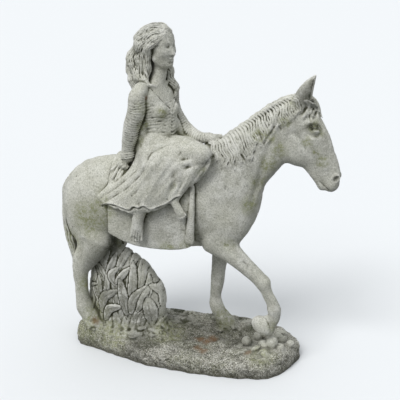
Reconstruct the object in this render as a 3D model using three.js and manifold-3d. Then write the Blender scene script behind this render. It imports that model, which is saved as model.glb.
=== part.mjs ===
// Garden statue in cast stone: a barefoot rider sits sideways on a walking horse, cast in one piece with a rocky
// plinth and with the leafy rock that props the belly.
// Millimetres, +Z up. The horse faces +X and the rider's feet hang on the -Y side. The origin is the middle of the
// plinth's flat underside.
//
// The group is modelled as clay: each limb, lock and leaf is added to one distance field, which is then meshed,
// thinned to a faceted solid and cut flat underneath.

import * as THREE from "three";
import Module from "manifold-3d";

// Driving dimensions, in millimetres
const FIGURE_HEIGHT = 915; // from the ground at the hooves to the crown of the rider's head
const PLINTH_LENGTH = 680;
const PLINTH_WIDTH = 308;
const PLINTH_THICKNESS = 46; // from the flat underside to the ground at the hooves
const PLINTH_MIDDLE = -10; // along the horse, from the middle of the figure
const CLOTH_THICKNESS = 9; // of the saddle cloth, measured out from the horse's flank
const CELL = 5; // edge of one cell of the distance field
const TRIANGLES = 9400; // of the finished solid
const STONE_COLOUR = 0xb9b8ab;

// The figures are drawn in parts, PARTS_HIGH of them from the ground to the rider's crown
const PARTS_HIGH = 915;
const SHARE = FIGURE_HEIGHT / PARTS_HIGH;
const at = (x, y, z) => new THREE.Vector3(x, y, z).multiplyScalar(SHARE);
const FAR = 1e3;

// Smooth joins of two distances: the smaller one, or the larger one, with a rounded seam
function smoothMin(a, b, blend) {
  const overlap = Math.max(blend - Math.abs(a - b), 0) / blend;
  return Math.min(a, b) - (overlap * overlap * blend) / 4;
}

function smoothMax(a, b, blend) {
  return -smoothMin(-a, -b, blend);
}

// Forms. Each one is a list of pieces with a box and a distance, negative inside

// Distance to an ellipsoid of radii ru, rv, rw at the offset u, v, w from its middle
function roundDistance(u, v, w, ru, rv, rw) {
  const near = Math.hypot(u / ru, v / rv, w / rw);
  const slope = Math.hypot(u / (ru * ru), v / (rv * rv), w / (rw * rw));
  return slope > 1e-9 ? (near * (near - 1)) / slope : -Math.min(ru, rv, rw);
}

// A stretch of limb between two stations, each with a place, a breadth along side and a depth across it
function stretch(a, b, side) {
  const along = b.place.clone().sub(a.place);
  const length = Math.max(along.length(), 1e-6);
  along.divideScalar(length);
  const u = side.clone().addScaledVector(along, -side.dot(along)).normalize();
  const v = along.clone().cross(u);
  const reach = Math.max(a.breadth, a.depth, b.breadth, b.depth);
  const { x: ax, y: ay, z: az } = a.place;
  return {
    low: a.place.clone().min(b.place).subScalar(reach),
    high: a.place.clone().max(b.place).addScalar(reach),
    distance(x, y, z) {
      const dx = x - ax;
      const dy = y - ay;
      const dz = z - az;
      const run = dx * along.x + dy * along.y + dz * along.z;
      const t = Math.min(Math.max(run / length, 0), 1);
      const breadth = a.breadth + (b.breadth - a.breadth) * t;
      const depth = a.depth + (b.depth - a.depth) * t;
      const across = dx * u.x + dy * u.y + dz * u.z;
      const over = dx * v.x + dy * v.y + dz * v.z;
      return roundDistance(across, over, run - t * length, breadth, depth, Math.min(breadth, depth));
    },
  };
}

const ACROSS = new THREE.Vector3(0, 1, 0); // from the horse's right flank to its left
const UP = new THREE.Vector3(0, 0, 1);

// A limb swept smoothly through stations [x, y, z, breadth, depth] in parts. Depth may be left out of a round one
function limb(stations, side = ACROSS, perSpan = 4) {
  const curve = new THREE.CatmullRomCurve3(stations.map(([x, y, z]) => at(x, y, z)), false, "centripetal");
  const girth = new THREE.CatmullRomCurve3(
    stations.map(([, , , breadth, depth = breadth]) => at(breadth, depth, 0)),
    false,
    "centripetal",
  );
  const count = (stations.length - 1) * perSpan;
  const rings = Array.from({ length: count + 1 }, (_, i) => {
    const { x: breadth, y: depth } = girth.getPoint(i / count);
    return { place: curve.getPoint(i / count), breadth: Math.max(breadth, 0.5), depth: Math.max(depth, 0.5) };
  });
  return rings.slice(1).map((ring, i) => stretch(rings[i], ring, side));
}

// An ellipsoid at a place in parts, with its radii along X, Y and Z, turned about Z and then about Y by degrees
function blob(x, y, z, radii, turnZ = 0, turnY = 0) {
  const middle = at(x, y, z);
  const [rx, ry, rz] = radii.map((r) => r * SHARE);
  const turn = new THREE.Matrix4().makeRotationY(THREE.MathUtils.degToRad(turnY));
  turn.premultiply(new THREE.Matrix4().makeRotationZ(THREE.MathUtils.degToRad(turnZ)));
  const back = turn.invert().elements;
  const reach = Math.max(rx, ry, rz);
  return [
    {
      low: middle.clone().subScalar(reach),
      high: middle.clone().addScalar(reach),
      distance(px, py, pz) {
        const dx = px - middle.x;
        const dy = py - middle.y;
        const dz = pz - middle.z;
        return roundDistance(
          back[0] * dx + back[4] * dy + back[8] * dz,
          back[1] * dx + back[5] * dy + back[9] * dz,
          back[2] * dx + back[6] * dy + back[10] * dz,
          rx,
          ry,
          rz,
        );
      },
    },
  ];
}

// Smallest distance to any piece of a form
function distanceTo(form, x, y, z) {
  return form.reduce((least, piece) => Math.min(least, piece.distance(x, y, z)), FAR);
}

// The clay: a grid of distances that forms are added to and carved from
class Clay {
  constructor(low, high, cell) {
    this.low = low;
    this.cell = cell;
    this.size = high.clone().sub(low).divideScalar(cell).ceil().addScalar(1);
    this.stepY = this.size.x;
    this.stepZ = this.size.x * this.size.y;
    this.value = new Float32Array(this.stepZ * this.size.z).fill(FAR);
    this.form = new Float32Array(this.value.length).fill(FAR);
  }

  // Calls visit(index, x, y, z) for each grid point within reach of a box
  within({ low, high }, reach, visit) {
    const first = low.clone().subScalar(reach).sub(this.low).divideScalar(this.cell).ceil();
    const last = high.clone().addScalar(reach).sub(this.low).divideScalar(this.cell).floor();
    first.max(new THREE.Vector3());
    last.min(this.size.clone().subScalar(1));
    for (let k = first.z; k <= last.z; k++)
      for (let j = first.y; j <= last.y; j++)
        for (let i = first.x; i <= last.x; i++)
          visit(
            i + j * this.stepY + k * this.stepZ,
            this.low.x + i * this.cell,
            this.low.y + j * this.cell,
            this.low.z + k * this.cell,
          );
  }

  // Joins a form's pieces with each other first, and then mixes the whole form into the clay
  mix(form, reach, join) {
    const { value, form: near } = this;
    for (const piece of form)
      this.within(piece, reach, (i, x, y, z) => {
        near[i] = Math.min(near[i], piece.distance(x, y, z));
      });
    for (const piece of form)
      this.within(piece, reach, (i) => {
        if (near[i] === FAR) return;
        value[i] = join(value[i], near[i]);
        near[i] = FAR;
      });
  }

  // Height of the clay's skin above the middle on one side, at a column of the grid, or 0 where nothing is there
  skinAt(i, k, side) {
    const row = i + k * this.stepZ;
    const middle = Math.round(-this.low.y / this.cell);
    let j = side > 0 ? this.size.y - 1 : 0;
    while (j !== middle && this.value[row + j * this.stepY] > 0) j -= side;
    if (j === middle) return 0;
    const inner = this.value[row + j * this.stepY];
    const outer = Math.min(this.value[row + (j + side) * this.stepY], this.cell);
    return side * (this.low.y + this.cell * j) + (this.cell * inner) / (inner - outer);
  }

  // The place on the clay's skin at x, z on one side of the middle, in parts, stood off it by lift
  onFace(x, z, side, lift) {
    const u = (x - this.low.x) / this.cell;
    const w = (z - this.low.z) / this.cell;
    const i = Math.floor(u);
    const k = Math.floor(w);
    const near = THREE.MathUtils.lerp(this.skinAt(i, k, side), this.skinAt(i + 1, k, side), u - i);
    const above = THREE.MathUtils.lerp(this.skinAt(i, k + 1, side), this.skinAt(i + 1, k + 1, side), u - i);
    return [x / SHARE, side * (THREE.MathUtils.lerp(near, above, w - k) / SHARE + lift), z / SHARE];
  }

  add(form, blend) {
    this.mix(form, blend + 2 * this.cell, (clay, added) => smoothMin(clay, added, blend));
  }

  carve(form, blend) {
    this.mix(form, blend + 2 * this.cell, (clay, tool) => smoothMax(clay, -tool, blend));
  }
}

// The horse. Breadth is across the horse and depth runs along its side

const TRUNK = limb([
  [-310, 0, 394, 60, 82],
  [-266, 0, 420, 82, 101],
  [-200, 0, 425, 88, 113],
  [-110, 0, 413, 93, 120],
  [-20, 0, 411, 94, 127],
  [60, 0, 426, 88, 134],
  [106, 0, 424, 77, 122],
  [134, 0, 402, 62, 88],
]);

const NECK = limb([
  [96, 0, 490, 66, 112],
  [162, 0, 549, 49, 86],
  [216, 0, 600, 38, 74],
  [264, 0, 648, 32, 62],
  [294, 0, 690, 29, 43],
]);

function horseHead(clay) {
  clay.add(
    limb([
      [300, 0, 702, 28, 36],
      [318, 0, 666, 32, 51],
      [344, 0, 612, 26, 54],
      [374, 0, 556, 21, 42],
      [393, 0, 520, 19, 30],
      [400, 0, 510, 20, 25],
    ]),
    14,
  );
  clay.add(blob(310, 0, 597, [48, 34, 48]), 9); // jowls
  clay.add(blob(374, 0, 497, [16, 15, 16]), 12); // chin and lower lip
  clay.add(blob(403, 0, 502, [18, 20, 19], 0, 30), 9); // upper lip
  for (const side of [-1, 1]) {
    clay.carve(limb([[334, side * 38, 650, 6], [350, side * 38, 642, 7], [366, side * 32, 637, 6]]), 8);
    clay.add(blob(357, side * 26, 657, [11, 7, 7], 0, 20), 3); // eye
    clay.add(limb([[328, side * 25, 672, 7], [344, side * 26, 677, 9], [360, side * 20, 668, 7]]), 7); // brow
    clay.add(limb([[348, side * 23, 632, 9], [370, side * 17, 592, 8], [388, side * 13, 558, 7]]), 8); // face crest
    clay.add(blob(415, side * 14, 526, [11, 8, 13], 0, 30), 6); // nostril
    clay.carve(limb([[414, side * 24, 519, 4], [420, side * 23, 529, 5]]), 3);
    clay.carve(limb([[372, side * 21, 517, 2.4], [386, side * 21, 503, 2.4], [400, side * 15, 485, 2.4]]), 3); // mouth
    clay.add(
      limb([[313, side * 17, 722, 22, 9], [320, side * 21, 750, 20, 9], [331, side * 22, 772, 13, 6],
        [344, side * 19, 793, 3, 3]], new THREE.Vector3(0.95, 0, -0.3)),
      6,
    ); // ear
    clay.carve(limb([[334, side * 31, 750, 5, 6], [341, side * 29, 772, 4, 5], [346, side * 22, 788, 2, 2]]), 3);
  }
}

function frontLegs(clay) {
  clay.add(blob(118, -46, 372, [56, 34, 66]), 26); // shoulders
  clay.add(blob(110, 46, 366, [56, 34, 66]), 26);
  clay.add(
    limb([
      [92, -50, 330, 30, 44],
      [136, -54, 300, 27, 31],
      [184, -55, 260, 22, 23],
      [227, -55, 221, 20, 20],
      [247, -55, 182, 15, 15],
      [264, -54, 146, 16, 17],
      [266, -54, 114, 15, 18],
      [252, -54, 94, 17, 22],
    ]),
    16,
  );
  clay.add(blob(233, -55, 217, [20, 19, 20]), 8); // knee
  clay.add(blob(266, -54, 138, [18, 17, 17]), 8); // fetlock
  clay.add(blob(236, -54, 82, [36, 23, 26], 0, 34), 7); // raised hoof
  clay.add(
    limb([
      [98, 50, 330, 26, 46],
      [88, 50, 260, 22, 29],
      [80, 50, 205, 19, 21],
      [76, 50, 155, 20, 20],
      [71, 50, 110, 15, 16],
      [74, 50, 76, 18, 21],
      [92, 50, 42, 18, 20],
    ]),
    16,
  );
  clay.add(limb([[92, 50, 42, 21, 22], [106, 50, 16, 28, 31], [112, 50, -2, 31, 35]]), 6);
}

function hindLegs(clay) {
  clay.add(blob(-277, -44, 370, [74, 42, 102], 0, 8), 26); // haunches
  clay.add(blob(-275, 44, 370, [74, 42, 102], 0, 8), 26);
  clay.add(
    limb([
      [-262, -54, 300, 34, 52],
      [-280, -56, 258, 27, 40],
      [-304, -55, 218, 21, 33],
      [-313, -54, 190, 19, 24],
      [-312, -54, 140, 16, 20],
      [-310, -54, 96, 17, 21],
      [-305, -54, 70, 20, 25],
      [-292, -54, 46, 19, 22],
    ]),
    16,
  );
  clay.add(limb([[-292, -54, 48, 21, 23], [-279, -54, 22, 28, 31], [-273, -54, -2, 32, 37]]), 6);
  clay.add(
    limb([
      [-250, 52, 300, 34, 52],
      [-246, 58, 250, 27, 40],
      [-262, 60, 208, 20, 28],
      [-266, 60, 180, 17, 20],
      [-254, 60, 130, 13, 16],
      [-244, 60, 88, 15, 17],
      [-236, 60, 62, 18, 20],
      [-224, 60, 42, 17, 20],
    ]),
    16,
  );
  clay.add(limb([[-224, 60, 44, 20, 22], [-214, 60, 20, 27, 30], [-209, 60, -2, 31, 35]]), 6);
}

function tail(clay) {
  for (const [y, out, low] of [[-38, -4, 214], [-27, 3, 224], [-15, 7, 200], [-2, 6, 226], [10, 1, 214]])
    clay.add(
      limb([
        [-330, y * 0.35, 474, 10],
        [-352 - out, y * 0.75, 418, 11],
        [-357 - out, y, 352, 12],
        [-349 - out, y - 3, 285, 11],
        [-336 - out, y - 8, low, 4],
      ]),
      4,
    );
}

// The crest of the neck from the withers to the poll, and the lower border of the mane on the rider's side
const CREST = [[70, 604], [96, 607], [128, 631], [160, 655], [198, 686], [238, 716], [270, 733], [300, 742]];
const MANE_BORDER = [[96, 552], [128, 548], [176, 558], [196, 602], [222, 614], [250, 656], [278, 672], [308, 694]];
const MANE_LOCKS = 20;

function mane(clay) {
  const line = (points) => new THREE.CatmullRomCurve3(points.map(([x, z]) => at(x, 0, z)), false, "centripetal");
  const crest = line(CREST);
  const border = line(MANE_BORDER);
  const ridge = crest.getSpacedPoints(24).map(({ x, z }) => [x / SHARE, 0, z / SHARE - 5, 11, 9]);
  clay.add(limb(ridge, ACROSS, 1), 8);
  for (const side of [-1, 1])
    for (let i = 0; i < MANE_LOCKS; i++) {
      const t = i / (MANE_LOCKS - 1);
      const sway = Math.sin(2.3 * i + side);
      const top = crest.getPointAt(t).addScaledVector(UP, -6 * SHARE);
      const tip = border.getPointAt(t).lerp(top, side > 0 ? 0.25 : 0.06 - 0.1 * sway);
      const path = [0, 0.3, 0.65, 1].map((s, n) => {
        const { x, z } = top.clone().lerp(tip, s);
        const bend = (5 * Math.sin(Math.PI * s) + 3 * sway * s) * SHARE;
        return [...clay.onFace(x + bend, z, side, [2, 1, 0, -2][n]), [8, 10, 9, 6][n], [6, 6.5, 6.5, 5][n]];
      });
      clay.add(limb(path, new THREE.Vector3(0.77, 0, 0.64), 3), 3);
    }
  for (const y of [-17, -6, 6, 17])
    clay.add(limb([[316, y * 0.5, 730, 9], [338, y * 0.8, 718, 9], [351, y, 700, 8], [360, y * 1.1, 680, 6]]), 3);
}

const CLOTH_BACK = -206;
const CLOTH_FRONT = 38;
const CLOTH_HEM = [[-206, 336], [-150, 314], [-104, 306], [5, 309], [44, 324]]; // lower edge, from back to front

function saddleCloth(clay) {
  const low = at(CLOTH_BACK, -130, 290);
  const high = at(CLOTH_FRONT, 130, 560);
  const hem = new THREE.CatmullRomCurve3(CLOTH_HEM.map(([x, z]) => at(x, 0, z)), false, "centripetal");
  const edge = hem.getSpacedPoints(40);
  const hemAt = (x) => {
    const n = Math.min(Math.max(edge.findIndex((p) => p.x > x), 1), edge.length - 1);
    const t = Math.min(Math.max((x - edge[n - 1].x) / (edge[n].x - edge[n - 1].x), 0), 1);
    return edge[n - 1].z + (edge[n].z - edge[n - 1].z) * t;
  };
  const distance = (x, y, z) => {
    const lap = (x - low.x) / (high.x - low.x);
    const skin = distanceTo(TRUNK, x, y, z) - CLOTH_THICKNESS;
    const wall = Math.abs(y) - (90 + 5 * Math.sin(Math.PI * lap)) * SHARE - CLOTH_THICKNESS;
    const hanging = Math.min(skin, smoothMax(wall, z - 420 * SHARE, 20));
    return smoothMax(smoothMax(hanging, hemAt(x) - z, 5), Math.max(low.x - x, x - high.x), 5);
  };
  clay.add([{ low, high, distance }], 3);
  for (const side of [-1, 1])
    clay.add(
      limb([[38, side * 88, 494, 5, 6], [40, side * 100, 440, 7, 8], [36, side * 102, 380, 7, 11],
        [33, side * 99, 334, 7, 13]], ACROSS),
      3,
    ); // rolled front edge
}

function horse(clay) {
  clay.add(TRUNK, 10);
  clay.add(NECK, 34);
  clay.add(blob(144, -26, 382, [42, 36, 48]), 24); // breast
  clay.add(blob(144, 26, 382, [42, 36, 48]), 24);
  hindLegs(clay);
  frontLegs(clay);
  horseHead(clay);
  tail(clay);
  mane(clay);
  saddleCloth(clay);
}

// The rider. Right and front are the directions of her own right side and of her chest; both turn from -Y
// towards the horse's head
const TORSO_TURN = THREE.MathUtils.degToRad(62);
const FRONT = new THREE.Vector3(Math.sin(TORSO_TURN), -Math.cos(TORSO_TURN), 0);
const RIGHT = new THREE.Vector3(-Math.cos(TORSO_TURN), -Math.sin(TORSO_TURN), 0);
const HEAD_TURN = THREE.MathUtils.degToRad(66);
const FACE = new THREE.Vector3(Math.sin(HEAD_TURN), -Math.cos(HEAD_TURN), 0);
const CHEEK = new THREE.Vector3(-Math.cos(HEAD_TURN), -Math.sin(HEAD_TURN), 0);
const HEAD_ANGLE = 66 - 90; // of the head's front from +X, in degrees

// A station placed from a middle by right, front and up
function from([x, y, z], right, front, up, ...radii) {
  const place = new THREE.Vector3(x, y, z)
    .addScaledVector(RIGHT, right)
    .addScaledVector(FRONT, front)
    .addScaledVector(UP, up);
  return [...place.toArray(), ...radii];
}

const HIPS = [-74, -18, 566];
const WAIST = [-71, -14, 614];
const CHEST = [-78, -12, 690];
const SHOULDERS = [-88, -10, 738];

function torso(clay) {
  clay.add(
    limb(
      [
        [...HIPS, 66, 50],
        from(HIPS, 0, 2, 24, 62, 46),
        [...WAIST, 53, 40],
        [-71, -14, 636, 52, 39],
        [-74, -13, 662, 55, 39],
        [...CHEST, 58, 38],
        [-84, -11, 722, 60, 31],
        [...SHOULDERS, 50, 25],
      ],
      RIGHT,
    ),
    10,
  );
  for (const side of [-1, 1]) clay.add(blob(...from(CHEST, side * 24, 23, -6).slice(0, 3), [22, 22, 23]), 8);
  clay.add(limb([from(SHOULDERS, 0, 0, 4, 30, 24), [-80, -8, 766, 21], [-74, -6, 786, 18.5], [-72, -6, 806, 19]], RIGHT), 12);
  clay.carve(limb([from(CHEST, 0, 39, 0, 3), from(CHEST, 0, 41, -26, 3), from(WAIST, 0, 40, 20, 3), from(WAIST, 0, 42, -8, 3)]), 4);
  for (const side of [-1, 1])
    clay.carve(limb([from(CHEST, 0, 41, 3, 3.5), from(CHEST, side * 22, 36, 30, 3), from(CHEST, side * 42, 22, 54, 3)]), 4);
}

const SKULL = [-72, -6, 862];

// A place on the head, from the skull's middle by cheek (her right), face (forwards) and up
function onHead(cheek, face, up) {
  return new THREE.Vector3(...SKULL)
    .addScaledVector(CHEEK, cheek)
    .addScaledVector(FACE, face)
    .addScaledVector(UP, up)
    .toArray();
}

function riderHead(clay) {
  clay.add(blob(...onHead(0, -8, 8), [47, 37, 44], HEAD_ANGLE), 8); // skull
  clay.add(blob(...onHead(0, 10, -18), [33, 31, 42], HEAD_ANGLE), 10); // face
  clay.add(blob(...onHead(0, 25, -50), [12, 12, 10], HEAD_ANGLE), 12); // chin
  clay.add(limb([[...onHead(0, 39, 4), 5], [...onHead(0, 44, -16), 5.5], [...onHead(0, 42, -22), 7]]), 5); // nose
  for (const side of [-1, 1]) {
    clay.carve(blob(...onHead(side * 15, 44, -3), [7, 9, 6], HEAD_ANGLE), 6); // eye socket
    clay.add(blob(...onHead(side * 15, 31, -4), [8, 8, 5], HEAD_ANGLE), 2); // eye
  }
  clay.add(limb([[...onHead(-9, 36, -36), 4], [...onHead(0, 41, -36), 5], [...onHead(9, 36, -36), 4]]), 4); // lips
}

// Locks of the rider's hair, each from the crown or temple to its tip: [cheek, face, up, radius] on the head
const HAIR_LOCKS = [
  [[0, 24, 38, 8], [20, -10, 42, 10], [26, -44, 20, 13], [24, -62, -18, 13], [30, -74, -62, 12], [30, -70, -120, 7]],
  [[6, 28, 33, 7], [29, 2, 29, 9], [38, -34, 8, 12], [36, -60, -24, 12], [42, -78, -62, 11], [40, -66, -96, 7]],
  [[12, 31, 27, 6], [35, 6, 16, 8], [42, -26, -2, 11], [40, -52, -26, 11], [42, -66, -66, 11], [44, -60, -140, 7]],
  [[20, 28, 21, 5], [38, 8, 4, 7], [42, -16, -14, 9], [42, -38, -38, 10], [42, -46, -78, 10], [48, -44, -128, 7]],
  [[-4, 25, 38, 8], [-16, -12, 43, 10], [-18, -48, 22, 13], [-14, -66, -18, 13], [-16, -76, -62, 12], [-14, -64, -124, 7]],
  [[2, 22, 42, 8], [4, -16, 45, 10], [6, -50, 24, 13], [6, -68, -16, 13], [4, -78, -64, 12], [8, -66, -134, 7]],
  [[-10, 28, 33, 7], [-30, 0, 28, 9], [-34, -36, 10, 12], [-32, -56, -26, 12], [-34, -62, -70, 12], [-34, -52, -128, 7]],
  [[-20, 27, 21, 5], [-36, 4, 6, 8], [-40, -22, -12, 10], [-40, -40, -42, 11], [-42, -42, -84, 10], [-44, -36, -126, 7]],
  [[40, -4, -14, 8], [37, -10, -44, 9], [36, -8, -76, 10], [40, 4, -104, 9], [32, 22, -128, 7]],
  [[42, -20, -30, 8], [40, -24, -62, 10], [44, -16, -96, 10], [48, 4, -118, 7]],
  [[-34, -2, -10, 7], [-30, -6, -48, 8], [-34, 0, -84, 9], [-40, 14, -118, 8], [-38, 24, -148, 7]],
];

function hair(clay) {
  clay.add(blob(...onHead(0, -17, 11), [42, 40, 38], HEAD_ANGLE), 8);
  clay.add(limb([[...onHead(2, -30, 10), 36, 32], [...onHead(4, -46, -30), 34, 26],
    [...onHead(4, -52, -74), 34, 20], [...onHead(2, -46, -124), 32, 12]], CHEEK), 8);
  for (const lock of HAIR_LOCKS) clay.add(limb(lock.map(([c, f, u, radius]) => [...onHead(c, f, u), radius])), 3);
}

// Hands: wrist, palm and fingertips, each finger bending at its knuckle
function hand(clay, wrist, palm, tips, thumb, flat) {
  clay.add(limb([[...wrist, 12, 10], [...palm, 15, 8]], flat), 5);
  for (const tip of tips) {
    const knuckle = palm.map((p, i) => p * 0.5 + tip[i] * 0.5);
    clay.add(limb([[...palm, 5], [...knuckle, 5.2], [...tip, 3.8]]), 2);
  }
  clay.add(limb([[...wrist, 6], [...thumb, 4]]), 3);
}

function arms(clay) {
  clay.add(limb([[-96, -44, 676, 12], [-112, -48, 630, 17], [-120, -46, 584, 20]]), 8); // left solid under the arms
  clay.add(limb([[-36, 12, 640, 12], [-22, 14, 600, 18], [10, 4, 590, 16]]), 8);
  clay.add(
    limb([
      from(SHOULDERS, 54, 0, 6, 20),
      from(SHOULDERS, 68, 0, -12, 23),
      [-122, -72, 690, 24],
      [-136, -70, 648, 23],
      [-146, -62, 605, 22],
      [-153, -54, 572, 20],
      [-155, -52, 558, 21],
    ]),
    6,
  );
  hand(clay, [-158, -50, 552], [-176, -58, 528],
    [[-206, -68, 510], [-200, -74, 497], [-190, -79, 489], [-179, -80, 490]], [-160, -72, 507],
    new THREE.Vector3(0.8, -0.5, 0.3));
  clay.add(
    limb([
      from(SHOULDERS, -48, 0, 4, 19),
      from(SHOULDERS, -60, 2, -14, 21),
      [-54, 44, 680, 20],
      [-31, 38, 640, 19],
      [6, 22, 611, 18],
      [42, 8, 604, 15],
      [60, 4, 607, 15],
    ]),
    6,
  );
  hand(clay, [64, 2, 608], [80, -4, 612],
    [[98, -16, 602], [94, -22, 596], [87, -26, 591], [79, -28, 588]], [94, 4, 616], new THREE.Vector3(0.3, 0.9, 0));
}

function legs(clay) {
  clay.add(limb([[-62, -18, 568, 44], [0, -48, 578, 42], [46, -74, 582, 34], [68, -88, 586, 24]]), 14); // left thigh
  clay.add(limb([[66, -88, 582, 22], [46, -98, 546, 18], [14, -107, 496, 14], [-4, -110, 466, 12]]), 10);
  clay.add(limb([[-92, -28, 566, 42], [-80, -70, 564, 37], [-70, -98, 548, 30]]), 14); // right thigh
  clay.add(limb([[-68, -102, 540, 28], [-80, -114, 470, 22], [-96, -120, 428, 16], [-108, -121, 398, 14]]), 10);
  foot(clay, [-109, -121, 402], [-115, -128, 338], [1, 0, 0.05]);
  foot(clay, [-12, -111, 462], [4, -116, 416], [0.8, 0, 0.4]);
}

// A foot hanging toes down, from the ankle to the toe tips, with its toes in a row along across
function foot(clay, ankle, tips, across) {
  const row = new THREE.Vector3(...across).normalize();
  const along = (t) => ankle.map((a, i) => a + (tips[i] - a) * t);
  clay.add(limb([[...ankle, 14, 14], [...along(0.35), 16, 14], [...along(0.72), 19, 10]], row), 6);
  for (let toe = -2; toe <= 2; toe++) {
    const shift = row.clone().multiplyScalar(toe * 7.6).toArray();
    const root = along(0.66).map((p, i) => p + shift[i] * 0.85);
    const tip = along(1 - 0.05 * Math.abs(toe)).map((p, i) => p + shift[i]);
    clay.add(limb([[...root, 5], [...tip, 4.2]]), 1.5);
  }
}

// Folds of the skirt, from hip or lap to hem: places [x, y, z], half-width of the fold where it is widest
const SKIRT_FOLDS = [
  [[[-122, -36, 590], [-124, -56, 536], [-163, -84, 486], [-208, -96, 456], [-224, -99, 444]], 14],
  [[[-112, -46, 594], [-122, -72, 540], [-154, -94, 488], [-197, -102, 448], [-211, -103, 433]], 15],
  [[[-104, -50, 598], [-110, -84, 540], [-138, -102, 488], [-177, -108, 446], [-189, -109, 431]], 15],
  [[[-94, -54, 600], [-92, -98, 546], [-118, -115, 492], [-158, -118, 446], [-172, -118, 430]], 17],
  [[[-84, -56, 602], [-78, -106, 550], [-100, -122, 486], [-137, -124, 442], [-149, -124, 428]], 18],
  [[[-72, -58, 604], [-64, -110, 554], [-82, -127, 486], [-112, -128, 440], [-127, -128, 426]], 19],
  [[[-60, -60, 604], [-48, -112, 556], [-64, -129, 488], [-88, -130, 446], [-100, -130, 437]], 17],
  [[[-46, -60, 604], [-32, -110, 556], [-46, -126, 490], [-64, -128, 446], [-76, -128, 432]], 15],
  [[[-30, -60, 604], [-16, -106, 556], [-28, -123, 490], [-44, -124, 450], [-55, -124, 438]], 14],
  [[[-16, -62, 602], [2, -104, 556], [-10, -118, 492], [-26, -120, 462], [-36, -120, 448]], 13],
];
// Folds of the hem that lies over the raised shin, and the creases between the folds
const UNDER_FOLDS = [
  [[[30, -94, 574], [12, -110, 528], [0, -114, 494], [-6, -114, 470]], 10],
  [[[48, -94, 578], [30, -110, 534], [14, -112, 500], [8, -112, 478]], 9],
  [[[64, -94, 580], [48, -107, 544], [32, -108, 512], [22, -108, 492]], 9],
  [[[80, -92, 584], [66, -102, 550], [50, -104, 522], [38, -104, 504]], 8],
  [[[88, -88, 592], [84, -96, 562], [66, -98, 534], [50, -98, 512]], 6],
];
const CREASES = [
  [[[-108, -92, 546], [-121, -108, 509], [-144, -116, 480], [-186, -118, 440]], 4.5],
  [[[-40, -142, 520], [-60, -150, 488], [-80, -150, 448]], 4],
  [[[-10, -136, 528], [-34, -146, 490], [-54, -146, 446]], 4],
  [[[8, -118, 552], [0, -122, 524], [-10, -130, 496], [-22, -134, 464]], 4.5],
];

function skirt(clay) {
  const lie = new THREE.Vector3(1, 0, 0.3);
  const drape = (folds, blend) => {
    for (const [points, width] of folds) {
      const last = points.length - 1;
      const stations = points.map((p, i) => [...p, width * (0.62 + 0.38 * Math.sin((Math.PI * i) / last)), 0.6 * width]);
      clay.add(limb(stations, lie, 3), blend);
    }
  };
  drape(UNDER_FOLDS, 3);
  drape(SKIRT_FOLDS, 6);
  for (const [points, radius] of CREASES) clay.carve(limb(points.map((p) => [...p, radius, 1.6 * radius]), lie, 3), 5);
  clay.add(limb([[2, -100, 556, 7], [32, -104, 566, 8], [62, -101, 576, 7], [82, -95, 590, 6]], lie), 5); // its folded edge
  clay.carve(limb([[8, -122, 546, 3], [34, -118, 553, 4], [62, -113, 564, 4], [88, -104, 582, 3]], lie), 3);
}

function rider(clay) {
  legs(clay);
  skirt(clay);
  torso(clay);
  arms(clay);
  riderHead(clay);
  hair(clay);
}

// The rock under the belly, and the leaves in relief on both of its faces

function prop(clay) {
  clay.add(
    limb(
      [
        [-190, 0, 0, 66, 120],
        [-189, 0, 46, 64, 119],
        [-190, 0, 92, 60, 118],
        [-198, 0, 127, 57, 112],
        [-216, 0, 172, 52, 90],
        [-232, 0, 212, 46, 58],
        [-242, 0, 250, 40, 37],
        [-242, 0, 300, 40, 38],
      ],
    ),
    18,
  );
}

// Leaves and petals: points [x, z] on the rock's face, half the blade's width, how far its middle stands out
const LEAVES = [
  [[[-237, 187], [-246, 216], [-231, 250]], 11, 3],
  [[[-228, 178], [-217, 212], [-212, 238]], 9, 2],
  [[[-196, 190], [-191, 220], [-186, 245]], 9, 2],
  [[[-140, 100], [-137, 160], [-151, 228]], 12, 2],
  [[[-155, 85], [-159, 150], [-170, 208]], 12, 4],
  [[[-283, 95], [-291, 138], [-300, 180]], 12, 4],
  [[[-254, 133], [-271, 170], [-282, 203]], 13, 5],
  [[[-257, 85], [-250, 135], [-236, 178]], 13, 6],
  [[[-212, 150], [-205, 188], [-198, 204]], 10, 5],
  [[[-196, 176], [-185, 200], [-174, 202], [-168, 184]], 7, 7],
  [[[-166, 66], [-181, 126], [-193, 176]], 13, 9],
  [[[-300, 70], [-305, 106], [-322, 126]], 8, 8],
  [[[-299, 88], [-295, 119], [-276, 136]], 8, 8],
  [[[-254, 84], [-238, 120], [-220, 137], [-199, 138]], 8, 9],
  [[[-162, 78], [-150, 119], [-134, 150], [-116, 138]], 8, 9],
  [[[-124, 112], [-116, 140], [-98, 143], [-84, 122], [-85, 98]], 8, 7],
  [[[-236, 34], [-221, 82], [-188, 92]], 13, 12],
  [[[-122, 50], [-117, 88], [-112, 114]], 17, 9],
  [[[-76, 60], [-84, 84], [-93, 98]], 10, 6],
];

function leaves(clay) {
  const tilt = new THREE.Vector3(1, 0, 0.25);
  for (const side of [-1, 1])
    for (const [points, width, out] of LEAVES) {
      const last = points.length - 1;
      const stations = points.map(([x, z], i) => {
        const rise = out * Math.sin(Math.PI * (0.2 + (0.7 * i) / last));
        return [...clay.onFace(x * SHARE, z * SHARE, side, rise - 2), width * (i === last ? 0.3 : 1), 6];
      });
      clay.add(limb(stations, tilt), 2);
    }
}

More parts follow.
